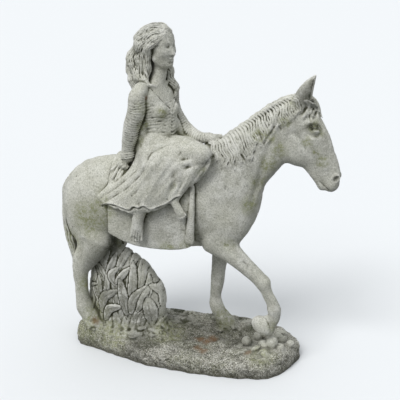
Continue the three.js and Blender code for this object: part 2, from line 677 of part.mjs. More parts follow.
// The plinth: an uneven oval of ground, in shares of its length and width from its middle
const PLINTH_OUTLINE = [
  [-0.5, 0.03], [-0.47, -0.2], [-0.355, -0.29], [-0.22, -0.39], [-0.08, -0.465], [0.12, -0.49], [0.31, -0.47],
  [0.425, -0.365], [0.485, -0.1], [0.5, 0.13], [0.43, 0.34], [0.27, 0.45], [0.015, 0.49], [-0.21, 0.5], [-0.41, 0.42],
  [-0.49, 0.24],
];
const EDGE_ROUND = 26;

// Small mounds and dips of the ground, in millimetres
function roughness(x, y) {
  return (
    2.6 * Math.sin(x * 0.031 + 1.3 * Math.sin(y * 0.045)) * Math.cos(y * 0.052 + 0.8) +
    2.1 * Math.sin(x * 0.083 + 2 * Math.sin(y * 0.061)) * Math.sin(y * 0.097 - x * 0.02)
  );
}

// Banks of earth, with radii in parts, and the stones at the raised hoof
const BANKS = [
  [-170, -6, -4, 138, 96, 52],
  [-40, 60, -6, 150, 70, 22],
  [150, 84, -4, 120, 50, 20],
  [255, -60, -8, 62, 66, 24],
];
const STONES = [
  [186, -56, 14, 14, 13, 13],
  [241, -68, 27, 20, 17, 16],
  [248, -112, 10, 17, 15, 15],
  [287, -58, 17, 15, 14, 15],
  [270, -22, 18, 24, 14, 12],
  [228, -126, 5, 14, 12, 11],
  [272, -96, 10, 16, 13, 13],
  [214, -92, 8, 16, 12, 10],
  [262, -46, 34, 18, 18, 20],
];

function plinth(clay) {
  const outline = new THREE.CatmullRomCurve3(
    PLINTH_OUTLINE.map(([x, y]) => new THREE.Vector3(x * PLINTH_LENGTH + PLINTH_MIDDLE, y * PLINTH_WIDTH, 0)),
    true,
  ).getPoints(96);
  const columns = new Map(); // distance to the outline, once for each column of the grid
  const edge = (x, y) => {
    const key = `${x},${y}`;
    if (!columns.has(key)) {
      let nearest = FAR;
      let inside = false;
      outline.slice(1).forEach((b, i) => {
        const a = outline[i];
        const span = b.clone().sub(a);
        const t = Math.min(Math.max(((x - a.x) * span.x + (y - a.y) * span.y) / span.lengthSq(), 0), 1);
        nearest = Math.min(nearest, Math.hypot(x - a.x - t * span.x, y - a.y - t * span.y));
        if (a.y > y !== b.y > y && x < a.x + ((y - a.y) / (b.y - a.y)) * span.x) inside = !inside;
      });
      columns.set(key, inside ? -nearest : nearest);
    }
    return columns.get(key);
  };
  const ground = {
    low: new THREE.Vector3(-0.56 * PLINTH_LENGTH, -0.56 * PLINTH_WIDTH, -PLINTH_THICKNESS - 20),
    high: new THREE.Vector3(0.56 * PLINTH_LENGTH, 0.56 * PLINTH_WIDTH, 60),
    distance(x, y, z) {
      const side = edge(x, y) + roughness(y + 60, x + z);
      let top = z - roughness(x, y);
      for (const [cx, cy, cz, rx, ry, rz] of BANKS) {
        const bank = roundDistance(x - cx * SHARE, y - cy * SHARE, z - cz * SHARE - roughness(x, y), rx, ry, rz);
        top = smoothMin(top, bank, 20);
      }
      return Math.max(smoothMax(top, side, EDGE_ROUND), -PLINTH_THICKNESS - 10 - z);
    },
  };
  clay.add([ground], 12);
  for (const [x, y, z, ...radii] of STONES) clay.add(blob(x, y, z, radii), 3);
}

// Meshing

// Even orders of a tetrahedron's corners, by which of them are inside
const ONE_INSIDE = [[0, 1, 2, 3], [1, 0, 3, 2], [2, 0, 1, 3], [3, 0, 2, 1]];
const TWO_INSIDE = [[0, 1, 2, 3], [0, 2, 3, 1], [0, 3, 1, 2], [1, 2, 0, 3], [1, 3, 2, 0], [2, 3, 0, 1]];
// The six tetrahedra of a cell, as the order in which its axes are walked, and whether that order is an even one
const WALKS = [[0, 1, 2, true], [1, 2, 0, true], [2, 0, 1, true], [0, 2, 1, false], [2, 1, 0, false], [1, 0, 2, false]];

// The clay's zero surface as places [x, y, z, ...] and triangles [a, b, c, ...], by marching tetrahedra
function surfaceOf(clay) {
  const { value, size, stepY, stepZ, cell, low } = clay;
  const steps = [1, stepY, stepZ];
  const places = [];
  const triangles = [];
  const known = new Map();
  const crossing = (near, far) => {
    const a = Math.min(near, far);
    const b = Math.max(near, far);
    const key = a * 32 + (b - a === 1 ? 1 : b - a === stepY ? 2 : b - a === stepZ ? 3 : b - a === 1 + stepY ? 4
      : b - a === 1 + stepZ ? 5 : b - a === stepY + stepZ ? 6 : 7);
    if (!known.has(key)) {
      const t = Math.min(Math.max(value[a] / (value[a] - value[b]), 0.02), 0.98);
      for (const [pitch, count, corner] of [[1, size.x, low.x], [stepY, size.y, low.y], [stepZ, size.z, low.z]]) {
        const from = Math.floor(a / pitch) % count;
        const to = Math.floor(b / pitch) % count;
        places.push(corner + cell * (from + (to - from) * t));
      }
      known.set(key, places.length / 3 - 1);
    }
    return known.get(key);
  };
  const face = (a, b, c, even) => {
    if (even) triangles.push(a, b, c);
    else triangles.push(a, c, b);
  };
  for (let k = 0; k < size.z - 1; k++)
    for (let j = 0; j < size.y - 1; j++)
      for (let i = 0; i < size.x - 1; i++) {
        const corner = i + j * stepY + k * stepZ;
        if (Math.abs(value[corner]) > 4 * cell) continue;
        for (const [first, second, third, even] of WALKS) {
          const tet = [corner, corner + steps[first]];
          tet.push(tet[1] + steps[second]);
          tet.push(tet[2] + steps[third]);
          const inside = tet.map((v) => value[v] < 0);
          const count = inside.filter(Boolean).length;
          if (count === 0 || count === 4) continue;
          if (count === 2) {
            const [p, q, r, s] = TWO_INSIDE.find(([a, b]) => inside[a] && inside[b]).map((n) => tet[n]);
            const [pr, ps, qs, qr] = [crossing(p, r), crossing(p, s), crossing(q, s), crossing(q, r)];
            face(pr, ps, qs, even);
            face(pr, qs, qr, even);
          } else {
            const [p, q, r, s] = ONE_INSIDE.find(([a]) => inside[a] === (count === 1)).map((n) => tet[n]);
            face(crossing(p, q), crossing(p, r), crossing(p, s), even === (count === 1));
          }
        }
      }
  return { places, triangles };
}

// Thins a closed mesh to a number of triangles by merging the two ends of whichever edge changes its shape least.
// An edge's cost is the summed square distance of the merged point from the planes around both ends.
function thinned({ places, triangles }, target, weightAt) {
  const count = places.length / 3;
  const place = Float64Array.from(places);
  const face = Int32Array.from(triangles);
  const around = Array.from({ length: count }, () => []);
  const planes = new Float64Array(count * 10);
  const alive = new Uint8Array(face.length / 3).fill(1);
  const gone = new Uint8Array(count);
  const stamp = new Int32Array(count);
  const normalOf = (a, b, c) => {
    const ux = place[3 * b] - place[3 * a];
    const uy = place[3 * b + 1] - place[3 * a + 1];
    const uz = place[3 * b + 2] - place[3 * a + 2];
    const vx = place[3 * c] - place[3 * a];
    const vy = place[3 * c + 1] - place[3 * a + 1];
    const vz = place[3 * c + 2] - place[3 * a + 2];
    return [uy * vz - uz * vy, uz * vx - ux * vz, ux * vy - uy * vx];
  };
  for (let f = 0; f < alive.length; f++) {
    const corners = [face[3 * f], face[3 * f + 1], face[3 * f + 2]];
    const [nx, ny, nz] = normalOf(...corners);
    const length = Math.hypot(nx, ny, nz) || 1;
    const a = nx / length;
    const b = ny / length;
    const c = nz / length;
    const v = corners[0];
    const d = -(a * place[3 * v] + b * place[3 * v + 1] + c * place[3 * v + 2]);
    const weight = length * weightAt(place[3 * v], place[3 * v + 1], place[3 * v + 2]);
    const terms = [a * a, a * b, a * c, a * d, b * b, b * c, b * d, c * c, c * d, d * d];
    for (const corner of corners) {
      around[corner].push(f);
      for (let n = 0; n < 10; n++) planes[10 * corner + n] += terms[n] * weight;
    }
  }
  // The best point for a merged pair, and its cost
  const best = (v, w) => {
    const q = [];
    for (let n = 0; n < 10; n++) q.push(planes[10 * v + n] + planes[10 * w + n]);
    const [aa, ab, ac, ad, bb, bc, bd, cc, cd, dd] = q;
    const middle = [0, 1, 2].map((n) => (place[3 * v + n] + place[3 * w + n]) / 2);
    const cost = ([x, y, z]) =>
      aa * x * x + 2 * ab * x * y + 2 * ac * x * z + 2 * ad * x + bb * y * y + 2 * bc * y * z + 2 * bd * y +
      cc * z * z + 2 * cd * z + dd;
    const det = aa * (bb * cc - bc * bc) - ab * (ab * cc - bc * ac) + ac * (ab * bc - bb * ac);
    const scale = (aa + bb + cc) ** 3;
    if (Math.abs(det) > 1e-4 * scale) {
      const point = [
        -(ad * (bb * cc - bc * bc) - ab * (bd * cc - bc * cd) + ac * (bd * bc - bb * cd)) / det,
        -(aa * (bd * cc - bc * cd) - ad * (ab * cc - bc * ac) + ac * (ab * cd - bd * ac)) / det,
        -(aa * (bb * cd - bd * bc) - ab * (ab * cd - bd * ac) + ad * (ab * bc - bb * ac)) / det,
      ];
      const apart = Math.hypot(...[0, 1, 2].map((n) => place[3 * v + n] - place[3 * w + n]));
      if (Math.hypot(...point.map((p, n) => p - middle[n])) < 2 * apart) return [cost(point), point];
    }
    return [cost(middle), middle];
  };
  const heap = [];
  const lift = (entry) => {
    let n = heap.push(entry) - 1;
    while (n > 0 && heap[(n - 1) >> 1][0] > entry[0]) {
      heap[n] = heap[(n - 1) >> 1];
      n = (n - 1) >> 1;
    }
    heap[n] = entry;
  };
  const least = () => {
    const top = heap[0];
    const entry = heap.pop();
    if (heap.length) {
      let n = 0;
      for (;;) {
        let child = 2 * n + 1;
        if (child >= heap.length) break;
        if (child + 1 < heap.length && heap[child + 1][0] < heap[child][0]) child++;
        if (heap[child][0] >= entry[0]) break;
        heap[n] = heap[child];
        n = child;
      }
      heap[n] = entry;
    }
    return top;
  };
  const neighbours = (v) => {
    const found = new Set();
    for (const f of around[v]) for (let n = 0; n < 3; n++) found.add(face[3 * f + n]);
    found.delete(v);
    return found;
  };
  const offer = (v, w) => {
    const [cost, point] = best(v, w);
    lift([cost, v, w, stamp[v], stamp[w], point]);
  };
  for (let v = 0; v < count; v++) for (const w of neighbours(v)) if (w > v) offer(v, w);
  const turnsOver = (v, w, point) =>
    around[v].some((f) => {
      const corners = [face[3 * f], face[3 * f + 1], face[3 * f + 2]];
      if (corners.includes(w)) return false;
      const before = normalOf(...corners);
      const old = [place[3 * v], place[3 * v + 1], place[3 * v + 2]];
      place.set(point, 3 * v);
      const after = normalOf(...corners);
      place.set(old, 3 * v);
      const turn = before[0] * after[0] + before[1] * after[1] + before[2] * after[2];
      return turn <= 0.15 * Math.hypot(...before) * Math.hypot(...after);
    });
  let left = alive.length;
  while (left > target && heap.length) {
    const [, v, w, stampV, stampW, point] = least();
    if (gone[v] || gone[w] || stamp[v] !== stampV || stamp[w] !== stampW) continue;
    const nearV = neighbours(v);
    const shared = [...neighbours(w)].filter((n) => nearV.has(n));
    if (shared.length !== 2 || turnsOver(v, w, point) || turnsOver(w, v, point)) continue;
    place.set(point, 3 * v);
    for (let n = 0; n < 10; n++) planes[10 * v + n] += planes[10 * w + n];
    for (const f of around[w]) {
      const corners = [face[3 * f], face[3 * f + 1], face[3 * f + 2]];
      if (corners.includes(v)) {
        alive[f] = 0;
        left--;
        for (const corner of corners)
          if (corner !== w) around[corner] = around[corner].filter((other) => other !== f);
      } else {
        face[3 * f + corners.indexOf(w)] = v;
        around[v].push(f);
      }
    }
    around[w] = [];
    gone[w] = 1;
    stamp[v]++;
    for (const n of neighbours(v)) offer(v, n);
  }
  const kept = [];
  for (let f = 0; f < alive.length; f++) if (alive[f]) kept.push(face[3 * f], face[3 * f + 1], face[3 * f + 2]);
  const renumber = new Map();
  const newPlaces = [];
  const newFaces = kept.map((v) => {
    if (!renumber.has(v)) {
      renumber.set(v, renumber.size);
      newPlaces.push(place[3 * v], place[3 * v + 1], place[3 * v + 2]);
    }
    return renumber.get(v);
  });
  return { places: newPlaces, triangles: newFaces };
}

// Faces, hands and feet are small, so their triangles weigh more when the mesh is thinned
function fineness(x, y, z) {
  const height = z / SHARE;
  const along = x / SHARE;
  if (height > 780 && along < 60) return 6; // the rider's head
  if (height > 480 && along > 240) return 2; // the horse's head
  if (height < 2) return 0.35; // the ground
  return 1;
}

const wasm = await Module();
wasm.setup();

function toSolid({ places, triangles }) {
  return new wasm.Manifold(
    new wasm.Mesh({ numProp: 3, vertProperties: new Float32Array(places), triVerts: new Uint32Array(triangles) }),
  );
}

// Everything below the underside, to be cut away
function floorBlock() {
  const box = new THREE.BoxGeometry(2 * PLINTH_LENGTH, 2 * PLINTH_LENGTH, 200).translate(0, 0, -100 - PLINTH_THICKNESS);
  const indexed = new Map();
  const position = box.getAttribute("position");
  const places = [];
  const corner = (v) => {
    const key = [position.getX(v), position.getY(v), position.getZ(v)].join();
    if (!indexed.has(key)) {
      indexed.set(key, indexed.size);
      places.push(position.getX(v), position.getY(v), position.getZ(v));
    }
    return indexed.get(key);
  };
  return toSolid({ places, triangles: Array.from(box.index.array, corner) });
}

function statueGeometry() {
  const margin = 4 * CELL;
  const clay = new Clay(
    new THREE.Vector3(Math.min(-380 * SHARE, -0.54 * PLINTH_LENGTH), Math.min(-165 * SHARE, -0.53 * PLINTH_WIDTH),
      -PLINTH_THICKNESS - 10).subScalar(margin),
    new THREE.Vector3(Math.max(440 * SHARE, 0.52 * PLINTH_LENGTH), Math.max(120 * SHARE, 0.53 * PLINTH_WIDTH),
      930 * SHARE).addScalar(margin),
    CELL,
  );
  prop(clay);
  leaves(clay);
  horse(clay);
  rider(clay);
  plinth(clay);
  const cast = toSolid(thinned(surfaceOf(clay), TRIANGLES, fineness)).subtract(floorBlock());
  const whole = cast.decompose().sort((a, b) => b.volume() - a.volume())[0];
  const mesh = whole.getMesh();
  return new THREE.BufferGeometry()
    .setAttribute("position", new THREE.BufferAttribute(new Float32Array(mesh.vertProperties), 3))
    .setIndex(new THREE.BufferAttribute(new Uint32Array(mesh.triVerts), 1))
    .translate(-PLINTH_MIDDLE, 0, PLINTH_THICKNESS);
}

const stone = new THREE.MeshStandardMaterial({ color: STONE_COLOUR, roughness: 0.92, metalness: 0 });
const statue = new THREE.Mesh(statueGeometry(), stone);
statue.name = "statue";

const group = new THREE.Group();
group.add(statue);
export default group;
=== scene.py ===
"""Looks of the garden statue: a rider sitting sideways on a walking horse, cast in stone with its plinth.

The group is sculpted again as clay, by the same plan as the CAD solid but on a finer grid and with the
finer carving: locks of hair, ruching, fingers, leaves and the roughness of the stone. Its one mesh replaces
the solid. Places are in millimetres from the ground at the hooves; the horse faces +X and the rider's feet
hang on the -Y side.
"""

import math

import bpy
import numpy as np
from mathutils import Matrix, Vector


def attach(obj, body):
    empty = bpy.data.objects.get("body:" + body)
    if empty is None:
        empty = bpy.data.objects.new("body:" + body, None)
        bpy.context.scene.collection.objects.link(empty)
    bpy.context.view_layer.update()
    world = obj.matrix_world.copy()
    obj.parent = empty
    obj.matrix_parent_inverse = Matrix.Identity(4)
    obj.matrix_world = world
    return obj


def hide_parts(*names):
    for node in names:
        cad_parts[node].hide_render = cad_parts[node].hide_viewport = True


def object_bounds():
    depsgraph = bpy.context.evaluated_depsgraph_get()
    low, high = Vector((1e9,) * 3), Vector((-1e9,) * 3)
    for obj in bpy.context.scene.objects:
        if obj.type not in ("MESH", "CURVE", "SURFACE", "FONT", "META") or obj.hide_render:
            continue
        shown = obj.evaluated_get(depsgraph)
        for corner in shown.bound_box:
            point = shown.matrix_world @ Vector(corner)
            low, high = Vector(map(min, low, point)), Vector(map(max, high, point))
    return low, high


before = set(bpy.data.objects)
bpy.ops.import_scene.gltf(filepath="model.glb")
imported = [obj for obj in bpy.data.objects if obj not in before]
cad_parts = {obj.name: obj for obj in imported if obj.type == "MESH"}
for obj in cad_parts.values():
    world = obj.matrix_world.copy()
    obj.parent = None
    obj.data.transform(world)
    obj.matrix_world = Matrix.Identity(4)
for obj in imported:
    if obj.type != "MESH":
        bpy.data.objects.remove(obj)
cad_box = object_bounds()

PLINTH_LENGTH = 680
PLINTH_WIDTH = 308
PLINTH_THICKNESS = 46  # from the flat underside to the ground at the hooves
PLINTH_MIDDLE = -10  # along the horse, from the middle of the figure
CLOTH_THICKNESS = 9
CELL = 2.0  # edge of one cell of the distance field
TRIANGLES = 190000
FAR = 1000.0
MM = 0.001

# Direction in which the photograph looks, for details placed along its lines of sight
SIGHT_TURN = math.radians(15)
SIGHT_FALL = math.radians(20)
SIGHT = np.array([
    -math.sin(SIGHT_TURN) * math.cos(SIGHT_FALL),
    math.cos(SIGHT_TURN) * math.cos(SIGHT_FALL),
    -math.sin(SIGHT_FALL),
])
SIGHT_TARGET = np.array([36.0, 0.0, 424.0])
SIGHT_DISTANCE = 2600.0


# Helpers


def vec(*numbers):
    return np.array(numbers, float)


def smooth_min(a, b, blend):
    overlap = np.maximum(blend - np.abs(a - b), 0) / blend
    return np.minimum(a, b) - overlap * overlap * (blend / 4)


def smooth_max(a, b, blend):
    return -smooth_min(-a, -b, blend)


def ease(low, high, value):
    """0 below low, 1 above high, and smooth in between."""
    t = np.clip((value - low) / (high - low), 0, 1)
    return t * t * (3 - 2 * t)


def swept(points, per_span):
    """Points along a centripetal Catmull-Rom curve, per_span of them from each given point to the next."""
    p = np.array(points, float)
    p = np.vstack([2 * p[0] - p[1], p, 2 * p[-1] - p[-2]])
    found = [p[1]]
    for a, b, c, d in zip(p, p[1:], p[2:], p[3:]):
        t0, t1, t2 = (math.sqrt(np.linalg.norm(v - u)) for u, v in ((a, b), (b, c), (c, d)))
        t1 = t1 if t1 > 1e-4 else 1.0
        t0 = t0 if t0 > 1e-4 else t1
        t2 = t2 if t2 > 1e-4 else t1
        m1 = ((b - a) / t0 - (c - a) / (t0 + t1) + (c - b) / t1) * t1
        m2 = ((c - b) / t1 - (d - b) / (t1 + t2) + (d - c) / t2) * t1
        for k in range(1, per_span + 1):
            s = k / per_span
            found.append(b + m1 * s + (3 * (c - b) - 2 * m1 - m2) * s**2 + (2 * (b - c) + m1 + m2) * s**3)
    return np.array(found)


def spaced(points, shares):
    """Points at shares of the length of a smooth curve through the given ones."""
    dense = swept(points, 24)
    run = np.concatenate([[0], np.cumsum(np.linalg.norm(np.diff(dense, axis=0), axis=1))])
    wanted = np.asarray(shares) * run[-1]
    return np.stack([np.interp(wanted, run, dense[:, n]) for n in range(dense.shape[1])], axis=-1)


CORNERS = [(i, j, k) for i in (0, 1) for j in (0, 1) for k in (0, 1)]


def corner_shares(f):
    """Each corner of a grid cell, and its share at the places f from 0 to 1 within the cell."""
    for i, j, k in CORNERS:
        yield (i, j, k), np.abs(1 - i - f[:, 0]) * np.abs(1 - j - f[:, 1]) * np.abs(1 - k - f[:, 2])


def lattice_noise(points, size, seed):
    """Smooth noise from -1 to 1 at points, with lumps of about that size."""
    rng = np.random.default_rng(seed)
    table = rng.uniform(-1, 1, 4096).astype(np.float32)
    p = points / size + 64
    base = np.floor(p).astype(np.int64)
    f = p - base
    f = f * f * (3 - 2 * f)
    total = np.zeros(len(points))
    for (i, j, k), share in corner_shares(f):
        key = (base[:, 0] + i) * 73856093
        key = key ^ ((base[:, 1] + j) * 19349663)
        key = key ^ ((base[:, 2] + k) * 83492791)
        total += table[key % 4096] * share
    return total


# Forms. Each one is a list of pieces: lowest and highest corner, and a distance, negative inside


def round_distance(u, v, w, breadth, depth, end):
    """Distance to an ellipsoid with radii breadth, depth and end, at the offset u, v, w from its middle."""
    p = u / breadth + 1e-5
    q = v / depth
    r = w / end
    near = np.sqrt(p * p + q * q + r * r)
    p /= breadth
    q = q / depth
    r = r / end
    return near * (near - 1) / np.sqrt(p * p + q * q + r * r)


def stretch(a, b, side, start, ripple):
    """A stretch of limb between two stations x, y, z, breadth, depth, with breadth along side."""
    along = b[:3] - a[:3]
    length = max(np.linalg.norm(along), 1e-6)
    along = along / length
    u = side - along * side.dot(along)
    if np.linalg.norm(u) < 1e-3:
        u = np.cross(along, [0.3, 0.5, 0.8])
    u = u / np.linalg.norm(u)
    v = np.cross(along, u)
    reach = max(a[3], a[4], b[3], b[4])

    def distance(x, y, z):
        dx = x - a[0]
        dy = y - a[1]
        dz = z - a[2]
        run = dx * along[0] + dy * along[1] + dz * along[2]
        t = np.clip(run / length, 0, 1)
        breadth = a[3] + (b[3] - a[3]) * t
        depth = a[4] + (b[4] - a[4]) * t
        across = dx * u[0] + dy * u[1] + dz * u[2]
        over = dx * v[0] + dy * v[1] + dz * v[2]
        near = round_distance(across, over, run - t * length, breadth, depth, np.minimum(breadth, depth))
        return near if ripple is None else near + ripple(start + run, across, over)

    return np.minimum(a[:3], b[:3]) - reach, np.maximum(a[:3], b[:3]) + reach, distance


ACROSS = vec(0, 1, 0)  # from the horse's right flank to its left
UP = vec(0, 0, 1)


def limb(stations, side=ACROSS, per_span=4, ripple=None):
    """A limb swept through stations x, y, z, breadth, depth. Depth may be left out of a round one."""
    full = np.array([list(s) + [s[3]] * (5 - len(s)) for s in stations], float)
    rings = np.hstack([swept(full[:, :3], per_span), np.maximum(swept(full[:, 3:], per_span), 0.5)])
    side = np.asarray(side, float)
    run = np.concatenate([[0], np.cumsum(np.linalg.norm(np.diff(rings[:, :3], axis=0), axis=1))])
    return [stretch(a, b, side, s, ripple) for a, b, s in zip(rings, rings[1:], run)]


def blob(x, y, z, radii, turn_z=0, turn_y=0):
    """An ellipsoid with its radii along X, Y and Z, turned about Y and then about Z by degrees."""
    middle = vec(x, y, z)
    cz, sz = math.cos(math.radians(turn_z)), math.sin(math.radians(turn_z))
    cy, sy = math.cos(math.radians(turn_y)), math.sin(math.radians(turn_y))
    turn = np.array([[cz, -sz, 0], [sz, cz, 0], [0, 0, 1]]) @ np.array([[cy, 0, sy], [0, 1, 0],
                                                                        [-sy, 0, cy]])
    back = turn.T
    reach = max(radii)

    def distance(px, py, pz):
        dx = px - x
        dy = py - y
        dz = pz - z
        u, v, w = (row[0] * dx + row[1] * dy + row[2] * dz for row in back)
        return round_distance(u, v, w, *radii)

    return [(middle - reach, middle + reach, distance)]


def tapered(line, radius):
    """Stations of a stroke that is thin at both of its ends."""
    shares = np.linspace(0, 1, len(line))
    ends = ease(0, 0.3, np.minimum(shares, 1 - shares))
    return [[*place, radius * (0.3 + 0.7 * full)] for place, full in zip(line, ends)]


def combed(count, depth, twist=0.02):
    """Ripple of grooves that run along a lock and wander about it."""
    def ripple(run, across, over):
        turn = np.arctan2(over, across)
        return -depth * (0.2 + np.sin(count * turn + twist * count * run + 1.3 * np.sin(0.12 * run)))
    return ripple


def wavy(path, swing, length, phase):
    """A path x, y, z, radius that swings about as it goes, least at its start."""
    rings = swept(path, 4)
    run = np.concatenate([[0], np.cumsum(np.linalg.norm(np.diff(rings[:, :3], axis=0), axis=1))])
    sway = swing * ease(10, 70, run)
    turn = 2 * math.pi * run / length + phase
    rings[:, :3] += (sway * np.sin(turn))[:, None] * FACE + (0.8 * sway * np.cos(turn))[:, None] * CHEEK
    return rings


class Clay:
    """A grid of distances that forms are added to and carved from."""

    def __init__(self, low, high, cell):
        self.low = np.array(low, float)
        self.cell = cell
        self.size = np.ceil((np.array(high) - self.low) / cell).astype(int) + 1
        self.value = np.full(self.size, FAR, np.float32)
        self.near = np.full(self.size, FAR, np.float32)
        self.axes = [(self.low[n] + cell * np.arange(self.size[n])).astype(np.float32) for n in range(3)]

    def window(self, low, high, reach):
        first = np.clip(np.ceil((low - reach - self.low) / self.cell), 0, self.size).astype(int)
        last = np.clip(np.floor((high + reach - self.low) / self.cell) + 1, first, self.size).astype(int)
        return tuple(slice(a, b) for a, b in zip(first, last))

    def mix(self, form, reach, join):
        """Joins a form's pieces with each other first, and then mixes the whole form into the clay."""
        windows = [self.window(low, high, reach) for low, high, _ in form]
        for (_, _, distance), span in zip(form, windows):
            x, y, z = (axis[s] for axis, s in zip(self.axes, span))
            near = self.near[span]
            if near.size:
                np.minimum(near, distance(x[:, None, None], y[None, :, None], z[None, None, :]), out=near)
        for span in windows:
            near = self.near[span]
            if near.size:
                self.value[span] = join(self.value[span], near)
                near[...] = FAR

    def add(self, form, blend):
        self.mix(form, blend + 2 * self.cell, lambda clay, added: smooth_min(clay, added, blend))

    def carve(self, form, blend):
        self.mix(form, blend + 2 * self.cell, lambda clay, tool: smooth_max(clay, -tool, blend))

    def skin_at(self, i, k, side):
        """Place of the clay's skin along Y on one side of the middle, in a column of the grid, or 0."""
        middle = int(round(-self.low[1] / self.cell))
        column = self.value[i, :, k]
        half = column[middle:][::-1] if side > 0 else column[:middle]
        inside = np.flatnonzero(half <= 0)
        if not len(inside) or inside[0] == 0:
            return 0.0
        j = inside[0]
        inner, outer = float(half[j]), min(float(half[j - 1]), self.cell)
        place = (len(column) - 1 - j) if side > 0 else j
        return side * (self.low[1] + self.cell * place) + self.cell * inner / (inner - outer)

    def on_face(self, x, z, side, lift):
        """The place on the clay's skin at x, z on one side of the middle, stood off it by lift."""
        u = (x - self.low[0]) / self.cell
        w = (z - self.low[2]) / self.cell
        i, k = int(u), int(w)
        heights = [[self.skin_at(i + a, k + b, side) for a in (0, 1)] for b in (0, 1)]
        near, above = (h[0] + (h[1] - h[0]) * (u - i) for h in heights)
        return [x, side * (near + (above - near) * (w - k) + lift), z]

    def level(self, points):
        """The clay's distances at points."""
        p = (np.asarray(points, float) - self.low) / self.cell
        base = np.clip(np.floor(p).astype(int), 0, self.size - 2)
        f = np.clip(p - base, 0, 1)
        total = np.zeros(len(p))
        for (i, j, k), share in corner_shares(f):
            corner = self.value[base[:, 0] + i, base[:, 1] + j, base[:, 2] + k]
            total += share * np.minimum(corner, 30)
        return total

    def cast(self, origin, direction, length, lift=0.0):
        """The first place on the clay's skin on a line from origin, stood off it by lift."""
        steps = np.arange(0, length, 0.5 * self.cell)
        levels = self.level(np.asarray(origin) + steps[:, None] * direction)
        inside = np.flatnonzero(levels <= 0)
        if not len(inside) or inside[0] == 0:
            return None
        n = inside[0]
        run = steps[n - 1] + (steps[n] - steps[n - 1]) * levels[n - 1] / (levels[n - 1] - levels[n])
        return np.asarray(origin) + (run - lift) * direction

    def seen(self, x, y, z, lift=0.0):
        """The place moved along the photograph's line of sight onto the clay's skin."""
        camera = SIGHT_TARGET - SIGHT_DISTANCE * SIGHT
        direction = vec(x, y, z) - camera
        direction /= np.linalg.norm(direction)
        place = self.cast(vec(x, y, z) - 110 * direction, direction, 260, lift)
        return vec(x, y, z) if place is None else place

    def drawn(self, points, lift=0.0, per_span=4):
        """A smooth line through points, moved along the lines of sight onto the clay's skin."""
        return [self.seen(*p, lift) for p in swept(points, per_span)]


TRUNK = limb([
    [-310, 0, 394, 60, 82], [-266, 0, 420, 82, 101], [-200, 0, 425, 88, 113], [-110, 0, 413, 93, 120],
    [-20, 0, 411, 94, 127], [60, 0, 426, 88, 134], [106, 0, 424, 77, 122], [134, 0, 402, 62, 88],
])

NECK = limb([
    [96, 0, 490, 66, 112], [162, 0, 549, 49, 86], [216, 0, 600, 38, 74], [264, 0, 648, 32, 62],
    [294, 0, 690, 29, 43],
])


def on_skin(clay, side, points, radius, blend, lift=0.0):
    """A crease cut along points x, z on one side of the horse."""
    line = [clay.on_face(x, z, side, lift) for x, z in swept(points, 3)]
    clay.carve(limb(tapered(line, radius), per_span=1), blend)


def on_skin_ridge(clay, side, points, radius, blend, lift=0.0):
    """A raised line laid along points x, z on one side of the horse."""
    line = [clay.on_face(x, z, side, lift) for x, z in swept(points, 3)]
    clay.add(limb(tapered(line, radius), per_span=1), blend)


def horse_eye(clay, side):
    on_skin(clay, side, [[334, 664], [344, 671], [357, 673], [368, 668], [375, 655]], 5.5, 5, 2.4)
    on_skin(clay, side, [[342, 648], [351, 643], [362, 641], [372, 645]], 4, 6, 2.4)
    clay.add(blob(357, side * 23.5, 656.5, [9, 7, 6], 0, 16), 2)
    on_skin_ridge(clay, side, [[343, 660], [351, 665], [361, 664], [369, 657]], 2.6, 1.5, 0.2)
    on_skin_ridge(clay, side, [[345, 653], [354, 650], [364, 651], [369, 655]], 2.2, 1.5, 0.0)


